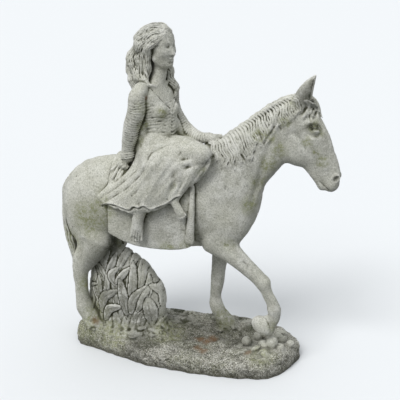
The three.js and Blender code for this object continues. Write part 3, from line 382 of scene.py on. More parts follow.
def horse_head(clay):
    clay.add(
        limb([
            [300, 0, 702, 28, 36], [318, 0, 666, 32, 51], [344, 0, 612, 26, 54], [374, 0, 556, 21, 42],
            [393, 0, 520, 19, 30], [400, 0, 510, 20, 25],
        ]),
        14,
    )
    clay.add(blob(310, 0, 597, [48, 33, 48]), 20)  # jowls
    clay.add(limb([[401, 0, 578, 12, 10], [410, 0, 552, 13, 11], [413, 0, 536, 14, 12]]),
             8)  # bridge of the nose
    clay.add(limb([[346, 0, 548, 14, 16], [364, 0, 520, 13, 13], [378, 0, 498, 14, 13]]),
             9)  # chin and lower lip
    clay.add(blob(403, 0, 502, [18, 20, 19], 0, 30), 9)  # upper lip
    for side in (-1, 1):
        clay.carve(limb([[334, side * 38, 650, 6], [350, side * 38, 642, 7], [366, side * 32, 637, 6]]), 8)
        clay.carve(blob(356, side * 36, 656, [15, 11, 9], 0, 25), 6)  # eye socket
        clay.add(limb([[328, side * 25, 672, 7], [344, side * 26, 677, 9], [360, side * 20, 668, 7]]),
                 7)  # brow
        clay.add(limb([[348, side * 23, 632, 9], [370, side * 17, 592, 8], [388, side * 13, 558, 7]]),
                 8)  # face crest
        clay.add(blob(415, side * 14, 526, [11, 8, 13], 0, 30), 6)  # nostril
        clay.carve(blob(418, side * 21, 526, [7, 9, 9.5], 0, 30), 1.5)
        on_skin(clay, side, [[411, 532], [412, 520], [417, 514]], 2.4, 3, 0.6)
        horse_eye(clay, side)
        on_skin(clay, side, [[277, 672], [266, 657], [262, 634], [261, 609], [264, 588], [275, 572]], 6,
                9, 3.4)
        on_skin(clay, side, [[250, 640], [234, 598], [222, 545], [208, 490], [196, 450]], 7, 14, 4.6)
        on_skin(clay, side, [[298, 646], [316, 634], [332, 610], [346, 588]], 4, 10, 2.2)
        for n in range(3):
            on_skin(clay, side, [[332 + 9 * n, 690 - 4 * n], [345 + 6 * n, 683 - 3 * n]], 2, 2, 0.4)
        on_skin(clay, side, [[364, 522], [374, 512], [384, 502], [394, 494], [405, 489]], 2.8, 1.5,
                0.2)  # mouth
        clay.add(
            limb([[313, side * 17, 722, 22, 9], [320, side * 21, 750, 20, 9], [331, side * 22, 772, 13, 6],
                [344, side * 19, 793, 3, 3]], vec(0.95, 0, -0.3)),
            6,
        )  # ear
        clay.carve(limb([[341, side * 29, 738, 6, 8], [348, side * 27, 760, 6, 8],
                         [351, side * 23, 782, 4, 4]]), 2)


def front_legs(clay):
    clay.add(blob(118, -46, 372, [56, 34, 66]), 26)  # shoulders
    clay.add(blob(110, 46, 366, [56, 34, 66]), 26)
    clay.add(
        limb([
            [92, -50, 330, 30, 44], [136, -54, 300, 27, 31], [184, -55, 260, 22, 23],
            [227, -55, 221, 20, 20], [247, -55, 182, 15, 15], [264, -54, 146, 16, 17],
            [266, -54, 114, 15, 18], [252, -54, 94, 17, 22],
        ]),
        16,
    )
    clay.add(blob(233, -55, 217, [20, 19, 20]), 8)  # knee
    clay.add(blob(266, -54, 138, [18, 17, 17]), 8)  # fetlock
    clay.add(blob(236, -54, 82, [36, 23, 26], 0, 34), 7)  # raised hoof
    clay.add(
        limb([
            [98, 50, 330, 26, 46], [88, 50, 260, 22, 29], [80, 50, 205, 19, 21], [76, 50, 155, 20, 20],
            [71, 50, 110, 15, 16], [74, 50, 76, 18, 21], [92, 50, 42, 18, 20],
        ]),
        16,
    )
    clay.add(limb([[92, 50, 42, 21, 22], [106, 50, 16, 28, 31], [112, 50, -2, 31, 35]]), 6)
    on_skin(clay, -1, [[244, 112], [254, 98], [261, 80], [260, 64]], 3, 4, 0.4)  # edge of the raised hoof
    on_skin(clay, -1, [[236, 200], [247, 174], [257, 148]], 3.4, 8, 1.2)
    on_skin(clay, -1, [[130, 330], [168, 296], [206, 258]], 4, 12, 1.8)


def hind_legs(clay):
    clay.add(blob(-277, -44, 370, [74, 42, 102], 0, 8), 26)  # haunches
    clay.add(blob(-275, 44, 370, [74, 42, 102], 0, 8), 26)
    clay.add(
        limb([
            [-262, -54, 300, 34, 52], [-280, -56, 258, 27, 40], [-304, -55, 218, 21, 33],
            [-313, -54, 190, 19, 24], [-312, -54, 140, 16, 20], [-310, -54, 96, 17, 21],
            [-305, -54, 70, 20, 25], [-292, -54, 46, 19, 22],
        ]),
        16,
    )
    clay.add(limb([[-292, -54, 48, 21, 23], [-279, -54, 22, 28, 31], [-273, -54, -2, 32, 37]]), 6)
    clay.add(
        limb([
            [-250, 52, 300, 34, 52], [-246, 58, 250, 27, 40], [-262, 60, 208, 20, 28],
            [-266, 60, 180, 17, 20], [-254, 60, 130, 13, 16], [-244, 60, 88, 15, 17],
            [-236, 60, 62, 18, 20], [-224, 60, 42, 17, 20],
        ]),
        16,
    )
    clay.add(limb([[-224, 60, 44, 20, 22], [-214, 60, 20, 27, 30], [-209, 60, -2, 31, 35]]), 6)
    on_skin(clay, -1, [[-288, 296], [-298, 262], [-300, 230]], 6, 14, 3.6)
    on_skin(clay, -1, [[-306, 42], [-282, 38], [-262, 44]], 2.6, 4, 0.4)


# Strands of the tail: how far to the side, how far back, height of the tip
TAIL_STRANDS = [[-38, -4, 214], [-27, 3, 224], [-15, 7, 200], [-2, 6, 226], [10, 1, 214]]


def tail(clay):
    for n, (y, out, low) in enumerate(TAIL_STRANDS):
        clay.add(
            limb([
                [-330, y * 0.35, 474, 10], [-352 - out, y * 0.75, 418, 11], [-357 - out, y, 352, 12],
                [-349 - out, y - 3, 285, 11], [-336 - out, y - 8, low, 4],
            ], per_span=8, ripple=combed(8, 1.5, 0.006 + 0.002 * n)),
            3,
        )


# The crest of the neck from the withers to the poll, and the lower border of the mane on the rider's side
CREST = [[70, 604], [96, 607], [128, 631], [160, 655], [198, 686], [238, 716], [270, 733], [300, 742]]
MANE_BORDER = [[96, 552], [128, 548], [176, 558], [196, 602], [222, 614], [250, 656], [278, 672],
               [308, 694]]


def mane(clay):
    ridge = spaced([[x, z] for x, z in CREST], np.linspace(0, 1, 49))
    clay.add(limb([[x, 0, z - 5 + 1.8 * math.sin(1.9 * n) + 1.2 * math.sin(0.8 * n), 11, 9]
                   for n, (x, z) in enumerate(ridge)], ACROSS, 1), 6)
    for side in (-1, 1):
        for strand in mane_strands(clay, side, count=30, wide=8.5, lift=0.8):
            clay.add(limb(strand, vec(0.77, 0, 0.64), 3, combed(6, 1.7, 0.01)), 4)
        on_skin(clay, side, [[201, 668], [209, 639], [222, 612]], 4, 3, 0.2)
        on_skin(clay, side, [[222, 612], [235, 634], [254, 672]], 4, 3, 0.2)
        on_skin(clay, side, [[156, 592], [168, 574], [179, 557]], 3.2, 2, 0)
        for n in range(10):
            forelock(clay, side, n / 9, n)


# The forelock's outer and inner strands as the photograph shows them: x, z on the head
FORELOCK_OUTER = [[322, 736], [334, 722], [331, 706], [323, 694], [326, 682]]
FORELOCK_INNER = [[333, 738], [350, 726], [359, 712], [362, 700], [367, 688]]


def forelock(clay, side, share, n):
    mixed = np.array(FORELOCK_OUTER) * (1 - share) + np.array(FORELOCK_INNER) * share
    mixed[1:] += [[2.5 * math.sin(2.4 * n + 1.7 * i), 3 * math.sin(1.3 * n + 2.1 * i)] for i in range(4)]
    on_skin_ridge(clay, side, mixed, 3.6, 2, 0.3)


def mane_strands(clay, side, count, wide, lift):
    """Wavy locks from the crest down to the mane's border, each as stations on the horse's skin."""
    shares = np.linspace(0.0, 1.0, count)
    found = []
    for i, (top, tip) in enumerate(zip(spaced(CREST, shares), spaced(MANE_BORDER, shares))):
        sway = math.sin(2.3 * i + side)
        short = 0.2 if side > 0 else 0.0
        tip = tip + (top - tip) * (short + 0.08 * math.sin(0.9 * i + 1) + 0.05 * sway)
        path = []
        for s in (0, 0.15, 0.3, 0.45, 0.6, 0.75, 0.88, 1):
            x, z = top + (tip - top) * s
            bend = 7 * math.sin(math.pi * s) + 4.0 * s**0.5 * math.sin(11 * s + 0.45 * i) + 2 * sway * s
            swell = 1 - 0.62 * s**3
            rise = lift + 1.0 * math.sin(2.9 * i) - 0.25 * wide * s
            place = clay.on_face(x + bend, z - (4 if s == 0 else 0), side, rise)
            path.append([*place, wide * swell, 0.6 * wide * swell])
        found.append(path)
    return found


def groove(clay, points, radius, lift=0.0, blend=2.0, per_span=4):
    """A crease cut along points that are moved along the lines of sight onto the clay."""
    clay.carve(limb(tapered(clay.drawn(points, lift, per_span), radius), per_span=1), blend)


def ridge(clay, points, radius, lift=0.0, blend=2.0, per_span=4):
    """A raised line laid along points that are moved along the lines of sight onto the clay."""
    clay.add(limb(tapered(clay.drawn(points, lift, per_span), radius), per_span=1), blend)


CLOTH_BACK = -206
CLOTH_FRONT = 38
CLOTH_HEM = [[-206, 336], [-150, 314], [-104, 306], [5, 309], [44, 324]]  # lower edge, from back to front


def saddle_cloth(clay):
    low = vec(CLOTH_BACK, -130, 290)
    high = vec(CLOTH_FRONT, 130, 560)
    hem = swept(CLOTH_HEM, 10)

    def distance(x, y, z):
        lap = (x - low[0]) / (high[0] - low[0])
        hem_at = np.interp(x.ravel(), hem[:, 0], hem[:, 1]).astype(np.float32).reshape(x.shape)
        skin = FAR
        for _, _, piece in TRUNK:
            skin = np.minimum(skin, piece(x, y, z))
        wall = np.abs(y) - (90 + 5 * np.sin(math.pi * np.clip(lap, 0, 1))) - CLOTH_THICKNESS
        hanging = np.minimum(skin - CLOTH_THICKNESS, smooth_max(wall + 0 * x, z - 420 + 0 * x, 20))
        weave = 0.34 * np.sin(2 * math.pi * (z - 0.04 * x) / 8) * ease(-1.5, 1.5, np.abs(y) - 60)
        weave = weave * ease(18, 44, high[0] - x) * ease(6, 18, z - hem_at)
        ends = np.maximum(low[0] - x, x - high[0]) + 0 * y
        return smooth_max(smooth_max(hanging + weave, hem_at - z, 5), ends, 5).astype(np.float32)

    clay.add([(low, high, distance)], 2)
    for side in (-1, 1):
        clay.add(
            limb([[38, side * 88, 494, 5, 6], [40, side * 100, 440, 7, 8], [36, side * 102, 380, 7, 11],
                  [33, side * 99, 334, 7, 13]]),
            2,
        )  # rolled front edge


def horse(clay):
    clay.add(TRUNK, 10)
    clay.add(NECK, 34)
    clay.add(blob(144, -26, 382, [42, 36, 48]), 24)  # breast
    clay.add(blob(144, 26, 382, [42, 36, 48]), 24)
    hind_legs(clay)
    front_legs(clay)
    horse_head(clay)
    tail(clay)
    mane(clay)
    saddle_cloth(clay)


# The rider. RIGHT and FRONT point to the rider's own right and out of the chest, FACE and CHEEK out of the
# face and of its right side; all are turned from -Y towards the horse's head
TORSO_TURN = math.radians(62)
FRONT = vec(math.sin(TORSO_TURN), -math.cos(TORSO_TURN), 0)
RIGHT = vec(-math.cos(TORSO_TURN), -math.sin(TORSO_TURN), 0)
HEAD_DEGREES = 66
HEAD_TURN = math.radians(HEAD_DEGREES)
FACE = vec(math.sin(HEAD_TURN), -math.cos(HEAD_TURN), 0)
CHEEK = vec(-math.cos(HEAD_TURN), -math.sin(HEAD_TURN), 0)
HEAD_ANGLE = HEAD_DEGREES - 90  # of the head's front from +X


def off(middle, right, front, up, *radii):
    """A station placed from a middle by right, front and up."""
    return [*(vec(*middle) + right * RIGHT + front * FRONT + up * UP), *radii]


HIPS = [-74, -18, 566]
WAIST = [-71, -14, 614]
CHEST = [-78, -12, 690]
SHOULDERS = [-88, -10, 738]
SKULL = [-72, -6, 862]


def gathers(start, end, pitch, depth, slant=0.0):
    """Ripple of ruched cloth between two runs along a limb."""
    def ripple(run, across, over):
        wave = np.sin(2 * math.pi * (run + slant * across + 1.1 * np.sin(0.14 * over + 0.11 * run)) / pitch)
        there = ease(start, start + 12, run) * (1 - ease(end - 12, end, run))
        return depth * there * (0.6 - wave)
    return ripple


def torso(clay):
    clay.add(
        limb(
            [
                [*HIPS, 66, 50],
                off(HIPS, 0, 2, 24, 62, 46),
                [*WAIST, 53, 40], [-71, -14, 636, 52, 39], [-74, -13, 662, 55, 39], [*CHEST, 58, 38],
                [-84, -11, 722, 60, 31], [*SHOULDERS, 50, 25],
            ],
            RIGHT, 5, gathers(22, 150, 7.6, 0.95, 0.14),
        ),
        10,
    )
    for side in (-1, 1):
        clay.add(blob(*off(CHEST, side * 24, 23, -6)[:3], [22, 22, 23]), 8)
    neck = [off(SHOULDERS, 0, 0, 4, 30, 24), [-80, -8, 766, 21], [-74, -6, 786, 18.5], [-72, -6, 806, 19]]
    clay.add(limb(neck, RIGHT, 5), 12)
    for side in (-1, 1):
        clay.add(limb([off(SHOULDERS, side * 4, 21, 6, 4), off(SHOULDERS, side * 26, 19, 16, 4),
                       off(SHOULDERS, side * 46, 8, 20, 4)]), 6)  # collarbones


def dress_trim(clay):
    """The neckline, the seam over the shoulder and the lacing of the bodice."""
    groove(clay, [[-80, -62, 748], [-60, -60, 727], [-42, -52, 706], [-28, -46, 690]], 2.6)
    groove(clay, [[-28, -46, 690], [-22, -38, 712], [-17, -30, 738]], 2.2)
    groove(clay, [[-132, -66, 744], [-124, -70, 762], [-108, -72, 772], [-90, -64, 764], [-78, -64, 746]],
           2.6)
    groove(clay, [[-28, -45, 688], [-29, -48, 657], [-31, -50, 622]], 2.2)
    for n in range(7):
        z = 684 - 9.5 * n
        ridge(clay, [[-37, -48, z + 3], [-29, -47, z - 1], [-22, -44, z + 3]], 1.9, 0.4, 1.5, 2)
    for n in range(5):
        z = 668 - 10 * n
        groove(clay, [[-40, -52, z], [-56, -58, z + 3], [-78, -62, z + 2], [-98, -58, z - 3]], 1.6, 0.3,
               3, 3)


def on_head(cheek, face, up):
    """A place from the skull's middle, by the rider's right, forwards and up."""
    return [*(vec(*SKULL) + cheek * CHEEK + face * FACE + up * UP)]


def head_blob(cheek, face, up, radii):
    return blob(*on_head(cheek, face, up), radii, HEAD_ANGLE)


def head_limb(*stations):
    """A limb through stations cheek, face, up, radius on the head."""
    return limb([[*on_head(cheek, face, up), radius] for cheek, face, up, radius in stations])


def rider_head(clay):
    clay.add(head_blob(0, -8, 8, [47, 37, 44]), 8)  # skull
    clay.add(head_blob(0, 9, -17, [33, 31, 42]), 10)  # face
    clay.add(head_limb((-22, 4, -38, 10), (-9, 22, -52, 10), (9, 22, -52, 10), (22, 4, -38, 10)), 12)  # jaw
    clay.add(head_blob(0, 31, -51, [8, 10, 8]), 10)  # chin
    for side in (-1, 1):
        clay.add(head_blob(side * 20, 22, -19, [9, 8, 8]), 14)  # cheekbone
        clay.carve(head_blob(side * 15, 41.5, -3.5, [9.5, 9, 6.5]), 5)  # eye socket
        clay.add(head_blob(side * 14.5, 26.5, -4.5, [8, 8.5, 7]), 1.2)  # eyeball
        for up, thick in ((5.0, 1.7), (-4.6, 1.4)):  # eyelids
            lid = head_limb((side * 6.5, 33.5, -5, thick), (side * 14, 35, -4.4 + up, thick),
                            (side * 22.5, 28.5, -5, thick))
            clay.add(lid, 1.0)
        brow = head_limb((side * 4.5, 36.5, 5.5, 2.2), (side * 14, 33.5, 9.5, 2.4), (side * 25, 25, 5, 1.6))
        clay.add(brow, 5)
        clay.add(head_blob(side * 5.2, 39.5, -25, [4.2, 4, 3.6]), 2.5)  # wing of the nose
        clay.carve(head_blob(side * 3.4, 43.5, -28.8, [2.6, 2, 1.8]), 1.5)  # nostril
    nose = head_limb((0, 34.5, 6, 3.6), (0, 39, -7, 3.6), (0, 44.5, -18, 4.4), (0, 46, -23.5, 4.6))
    clay.add(nose, 4)
    upper_lip = head_limb((-11.5, 32, -38.8, 1.6), (-4, 38.8, -35.8, 3), (0, 39, -36.2, 2.7),
                          (4, 38.8, -35.8, 3), (11.5, 32, -38.8, 1.6))
    clay.add(upper_lip, 1.6)
    clay.add(head_limb((-10, 33, -40.6, 2), (0, 38.4, -42.8, 4), (10, 33, -40.6, 2)), 1.6)  # lower lip
    clay.carve(head_limb((-11.5, 35, -39.4, 1.2), (0, 42.6, -39.3, 1.6), (11.5, 35, -39.4, 1.2)), 1)
    clay.carve(head_limb((-7, 38, -47.5, 3), (0, 41, -47.5, 3.4), (7, 38, -47.5, 3)), 4)


# Locks of the rider's hair, each from the crown or temple to its tip: [cheek, face, up, radius] on the head
HAIR_LOCKS = [
    [[0, 24, 38, 8], [20, -10, 42, 10], [26, -44, 20, 13], [24, -62, -18, 13], [30, -74, -62, 12],
     [30, -70, -120, 6]],
    [[6, 28, 33, 7], [29, 2, 29, 9], [38, -34, 8, 12], [36, -60, -24, 12], [42, -78, -62, 11],
     [40, -66, -96, 5]],
    [[12, 31, 27, 6], [35, 6, 16, 8], [42, -26, -2, 11], [40, -52, -26, 11], [42, -66, -66, 11],
     [44, -60, -140, 6]],
    [[20, 28, 21, 5], [38, 8, 4, 7], [42, -16, -14, 9], [42, -38, -38, 10], [42, -46, -78, 10],
     [48, -44, -128, 6]],
    [[-4, 25, 38, 8], [-16, -12, 43, 10], [-18, -48, 22, 13], [-14, -66, -18, 13], [-16, -76, -62, 12],
     [-14, -64, -124, 6]],
    [[2, 22, 42, 8], [4, -16, 45, 10], [6, -50, 24, 13], [6, -68, -16, 13], [4, -78, -64, 12],
     [8, -66, -134, 6]],
    [[-10, 28, 33, 7], [-30, 0, 28, 9], [-34, -36, 10, 12], [-32, -56, -26, 12], [-34, -62, -70, 12],
     [-34, -52, -128, 6]],
    [[-20, 27, 21, 5], [-36, 4, 6, 8], [-40, -22, -12, 10], [-40, -40, -42, 11], [-42, -42, -84, 10],
     [-44, -36, -126, 5]],
    [[40, -4, -14, 8], [38, -14, -44, 9], [38, -20, -76, 10], [42, -16, -104, 9], [40, -4, -126, 5]],
    [[42, -20, -30, 9], [41, -32, -62, 11], [46, -34, -96, 10], [50, -24, -120, 5]],
    [[-34, -2, -10, 8], [-28, -4, -48, 11], [-30, 2, -84, 12], [-38, 14, -118, 9], [-38, 24, -150, 4]],
]

# Folds of the skirt, from hip or lap to hem: places [x, y, z], half-width of the fold where it is widest
SKIRT_FOLDS = [
    [[[-122, -36, 590], [-124, -56, 536], [-163, -84, 486], [-208, -96, 456], [-224, -99, 444]], 14],
    [[[-112, -46, 594], [-122, -72, 540], [-154, -94, 488], [-197, -102, 448], [-211, -103, 433]], 15],
    [[[-104, -50, 598], [-110, -84, 540], [-138, -102, 488], [-177, -108, 446], [-189, -109, 431]], 15],
    [[[-94, -54, 600], [-92, -98, 546], [-118, -115, 492], [-158, -118, 446], [-172, -118, 430]], 17],
    [[[-84, -56, 602], [-78, -106, 550], [-100, -122, 486], [-137, -124, 442], [-149, -124, 428]], 18],
    [[[-72, -58, 604], [-64, -110, 554], [-82, -127, 486], [-112, -128, 440], [-127, -128, 426]], 19],
    [[[-60, -60, 604], [-48, -112, 556], [-64, -129, 488], [-88, -130, 446], [-100, -130, 437]], 17],
    [[[-46, -60, 604], [-32, -110, 556], [-46, -126, 490], [-64, -128, 446], [-76, -128, 432]], 15],
    [[[-30, -60, 604], [-16, -106, 556], [-28, -123, 490], [-44, -124, 450], [-55, -124, 438]], 14],
    [[[-16, -62, 602], [2, -104, 556], [-10, -118, 492], [-26, -120, 462], [-36, -120, 448]], 13],
]
# Folds of the hem that lies over the raised shin
UNDER_FOLDS = [
    [[[30, -94, 574], [12, -110, 528], [0, -114, 494], [-6, -114, 470]], 10],
    [[[48, -94, 578], [30, -110, 534], [14, -112, 500], [8, -112, 478]], 9],
    [[[64, -94, 580], [48, -107, 544], [32, -108, 512], [22, -108, 492]], 9],
    [[[80, -92, 584], [66, -102, 550], [50, -104, 522], [38, -104, 504]], 8],
    [[[88, -88, 592], [84, -96, 562], [66, -98, 534], [50, -98, 512]], 6],
]


def hair(clay):
    clay.add(head_blob(0, -17, 11, [42, 40, 38]), 8)
    clay.add(limb([[*on_head(2, -30, 10), 36, 32], [*on_head(4, -46, -30), 34, 26],
                   [*on_head(4, -52, -74), 34, 20],
                   [*on_head(2, -46, -124), 32, 12]], CHEEK), 8)
    for n, lock in enumerate(HAIR_LOCKS):
        path = [[*on_head(c, f - (5 if i == 0 else 0), u), radius] for i,
                (c, f, u, radius) in enumerate(lock)]
        strand = wavy(path, 4.5, 46 + 5 * (n % 3), 1.9 * n)
        clay.add(limb(strand, per_span=1, ripple=combed(9 + n % 3, 1.7, 0.02)), 3)
    for n in range(11):  # thin strands that lie loose on the locks
        lock = HAIR_LOCKS[n % len(HAIR_LOCKS)]
        turn = 0.9 * n
        path = [[*on_head(c + 0.85 * r * math.cos(turn), f + 0.85 * r * math.sin(turn), u),
                 3.4 if r > 5 else 2.2]
                for c, f, u, r in lock]
        clay.add(limb(wavy(path, 5, 44 + 4 * (n % 4), 1.3 * n)[6:], per_span=1), 1.2)


def hand(clay, wrist, palm, tips, thumb, flat):
    """Wrist, palm and fingertips, each finger running straight from the palm through its knuckle to its tip.
    """
    clay.add(limb([[*wrist, 12, 10], [*palm, 15, 8]], flat), 5)
    for tip in tips:
        knuckle = (vec(*palm) + vec(*tip)) / 2
        clay.add(limb([[*palm, 5], [*knuckle, 5.2], [*tip, 3.8]]), 1.5)
    clay.add(limb([[*wrist, 6], [*thumb, 4.5]]), 3)


def arms(clay):
    # stone left solid between the arms and the waist
    clay.add(limb([[-96, -44, 676, 12], [-112, -48, 630, 17], [-120, -46, 584, 20]]), 8)
    clay.add(limb([[-36, 12, 640, 12], [-22, 14, 600, 18], [10, 4, 590, 16]]), 8)
    right_arm = [
        off(SHOULDERS, 54, 0, 6, 20),
        off(SHOULDERS, 68, 0, -12, 23),
        [-122, -72, 690, 24], [-136, -70, 648, 23], [-146, -62, 605, 22], [-153, -54, 572, 20],
        [-155, -52, 558, 21],
    ]
    clay.add(limb(right_arm, per_span=5, ripple=gathers(6, 222, 7.0, 1.1, 0.12)), 4)
    hand(clay, [-160, -52, 552], [-172, -60, 530], [], [-158, -68, 510], vec(0.8, -0.5, 0.3))
    for knuckle, tip in (((-181, 533), (-204, 510)), ((-177, 527), (-197, 493)), ((-169, 523), (-187, 489)),
                         ((-161, 521), (-177, 495))):
        line = clay.drawn([[knuckle[0] + 10, -72, knuckle[1] + 8], [knuckle[0], -72, knuckle[1]],
                           [0.5 * (knuckle[0] + tip[0]), -72, 0.5 * (knuckle[1] + tip[1])],
                           [tip[0], -72, tip[1]]], 1.6, 2)
        clay.add(limb([[*place, 4.6 - 0.15 * n] for n, place in enumerate(line)], per_span=1), 0.8)
    left_arm = [
        off(SHOULDERS, -48, 0, 4, 19),
        off(SHOULDERS, -60, 2, -14, 21),
        [-54, 44, 680, 20], [-31, 38, 640, 19], [6, 22, 611, 18], [42, 8, 604, 15], [60, 4, 607, 15],
    ]
    clay.add(limb(left_arm, per_span=5, ripple=gathers(8, 232, 7.2, 1.1, 0.12)), 4)
    hand(clay, [64, 2, 608], [80, -4, 612],
         [[98, -16, 602], [94, -22, 596], [87, -26, 591], [79, -28, 588]],
         [94, 4, 616], vec(0.3, 0.9, 0))
    for n in range(3):
        z = 566 - 6 * n
        ring = [[-154 + 21.5 * math.cos(a), -53 + 21.5 * math.sin(a), z + 4 * math.cos(a), 2.2]
                for a in np.linspace(0, 2 * math.pi, 13)]
        clay.add(limb(ring, per_span=1), 1.5)  # rolled cuff


def foot(clay, ankle, tips, across, size=1.0):
    """A foot hanging toes down, from the ankle to the toe tips, with its toes in a row along across."""
    row = vec(*across) / np.linalg.norm(across)
    ankle, tips = vec(*ankle), vec(*tips)

    def along(t):
        return ankle + (tips - ankle) * t

    clay.add(limb([[*ankle, 14 * size, 14 * size], [*along(0.35), 16 * size, 14 * size],
                   [*along(0.78), 19 * size, 9 * size]], row), 6)
    pitch = 7.8 * size
    for toe in range(-2, 3):
        root = along(0.7) + 0.9 * pitch * toe * row
        tip = along(1 - 0.04 * abs(toe)) + pitch * toe * row
        clay.add(limb([[*root, 4.2 * size], [*((root + tip) / 2), 4 * size], [*tip, 4.3 * size]]), 0.6)
    for gap in (-1.5, -0.5, 0.5, 1.5) if size == 1 else ():
        root = along(0.6) + 0.9 * pitch * gap * row
        tip = along(1.14) + pitch * gap * row
        groove(clay, [root, (root + tip) / 2, tip], 2.6 * size, 0.0, 0.8, 3)


def legs(clay):
    clay.add(limb([[-62, -18, 568, 44], [0, -48, 578, 42], [46, -74, 582, 34], [68, -88, 586, 24]]),
             14)  # left thigh
    clay.add(limb([[66, -88, 582, 22], [46, -98, 546, 18], [14, -107, 496, 14], [-4, -110, 466, 12]]), 10)
    clay.add(limb([[-92, -28, 566, 42], [-80, -70, 564, 37], [-70, -98, 548, 30]]), 14)  # right thigh
    clay.add(limb([[-68, -102, 540, 28], [-80, -114, 470, 22], [-96, -120, 428, 16],
                   [-108, -121, 398, 14]]), 10)
    foot(clay, [-107, -120, 408], [-113, -128, 337], [1, 0, -0.22])
    foot(clay, [-9, -113, 460], [20, -119, 412], [0.86, 0, 0.51], 0.7)


# Creases between the folds: places on the lines of sight, the tool's radius and how soft the cut is
SKIRT_CREASES = [
    [[[-20, -100, 612], [-39, -104, 604], [-71, -108, 586], [-83, -108, 566], [-95, -108, 535],
      [-120, -108, 505],
      [-153, -108, 474], [-184, -108, 451], [-207, -108, 433]], 4.6, 4],
    [[[-112, -108, 536], [-144, -108, 507], [-168, -108, 485], [-198, -108, 462], [-219, -108, 444]], 3.4,
     6],
    [[[0, -106, 550], [-7, -106, 536], [-9, -106, 522], [-5, -106, 503], [-18, -106, 482],
      [-28, -106, 456]], 9, 6],
    [[[-9, -106, 528], [-26, -106, 513], [-46, -106, 487], [-62, -106, 466], [-78, -106, 438]], 4, 6],
    [[[-44, -125, 540], [-70, -125, 500], [-92, -125, 467], [-106, -125, 440]], 3.4, 9],
    [[[98, -100, 588], [79, -101, 566], [47, -103, 557], [20, -104, 548], [2, -105, 538]], 3.6, 3],
    [[[34, -104, 545], [18, -104, 512], [5, -104, 488], [-1, -104, 466]], 5, 3],
    [[[49, -102, 550], [34, -102, 520], [20, -102, 490]], 3.6, 3],
    [[[104, -96, 600], [93, -96, 581], [74, -96, 554], [52, -96, 526]], 4.6, 3],
    [[[65, -98, 558], [50, -98, 536], [37, -98, 512]], 3.4, 3],
]
# The first ones are the longest and the deepest
LONG_CREASES = 2
# Between these two lines the cloth is drawn into soft furrows
FURROWS = 5
FLOW_FROM = [[-60, -104, 592], [-84, -108, 560], [-110, -108, 516], [-150, -112, 476], [-190, -112, 444]]
FLOW_TO = [[20, -100, 592], [4, -104, 560], [-16, -112, 524], [-34, -120, 488], [-48, -124, 448]]
# Wrinkles below the waist
LAP_WRINKLES = [
    [[-74, -60, 605], [-53, -60, 616], [-35, -60, 627]],
    [[-66, -60, 603], [-46, -60, 613], [-30, -60, 623]],
    [[-58, -60, 600], [-42, -60, 608], [-29, -60, 617]],
    [[-79, -60, 609], [-61, -60, 618], [-48, -60, 629]],
    [[-89, -60, 616], [-68, -60, 622], [-48, -60, 632]],
    [[-56, -60, 595], [-41, -60, 604], [-30, -60, 612]],
]
# The edge of the skirt
HEMLINE = [
    [-213, -118, 430], [-198, -118, 435], [-179, -118, 434], [-156, -118, 428], [-133, -118, 423],
    [-122, -118, 434],
    [-107, -118, 431], [-93, -118, 439], [-74, -118, 429], [-53, -118, 438], [-22, -118, 454],
    [0, -118, 472],
    [15, -118, 477],
]


def drape(clay, folds, blend, flatness=0.6):
    for points, width in folds:
        last = len(points) - 1
        stations = []
        for i, p in enumerate(points):
            wide = width * (0.62 + 0.38 * math.sin(math.pi * i / last))
            stations.append([*p, wide, flatness * width])
        clay.add(limb(stations, vec(1, 0, 0.3), 4), blend)


def skirt(clay):
    lie = vec(1, 0, 0.3)
    drape(clay, UNDER_FOLDS, 3)
    drape(clay, SKIRT_FOLDS, 12)
    clay.add(limb([[2, -100, 556, 7], [32, -104, 566, 8], [62, -101, 576, 7], [82, -95, 590, 6]], lie), 5)
    cuts = []  # all laid on the cloth before the first is carved, so that none falls into another
    for n in range(FURROWS):
        share = (n + 0.5 + 0.35 * math.sin(2.7 * n)) / FURROWS
        line = np.array(FLOW_FROM) * (1 - share) + np.array(FLOW_TO) * share
        cuts.append((clay.drawn(line[n % 2:], 4.2, 3), 6, 6))
    for n, (points, radius, blend) in enumerate(SKIRT_CREASES):
        lift = 0.5 if n < LONG_CREASES else 2.2
        cuts.append((clay.drawn(points, lift, 3), radius, blend))
    for points in LAP_WRINKLES:
        cuts.append((clay.drawn(points, 0.8, 3), 2.2, 2))
    for line, radius, blend in cuts:
        clay.carve(limb(tapered(line, radius), per_span=1), blend)


def skirt_hem(clay):
    """The rolled edge of the skirt, in scallops."""
    line = clay.drawn(HEMLINE, 0.0, 3)
    clay.add(limb([[*p, 2.8] for p in line], per_span=1), 2)
    clay.carve(limb([[*(p + vec(0, -0.5, -6.0)), 3.4] for p in line], per_span=1), 1.5)


def rider(clay):
    legs(clay)
    skirt(clay)
    skirt_hem(clay)
    torso(clay)
    arms(clay)
    rider_head(clay)
    hair(clay)
    dress_trim(clay)


# The rock under the belly, and the leaves in relief on both of its faces
ROCK = limb([
    [-190, 0, 0, 66, 120], [-189, 0, 46, 64, 119], [-190, 0, 92, 60, 118], [-198, 0, 127, 57, 112],
    [-216, 0, 172, 52, 90], [-232, 0, 212, 46, 58], [-242, 0, 250, 40, 37], [-242, 0, 300, 40, 38],
])


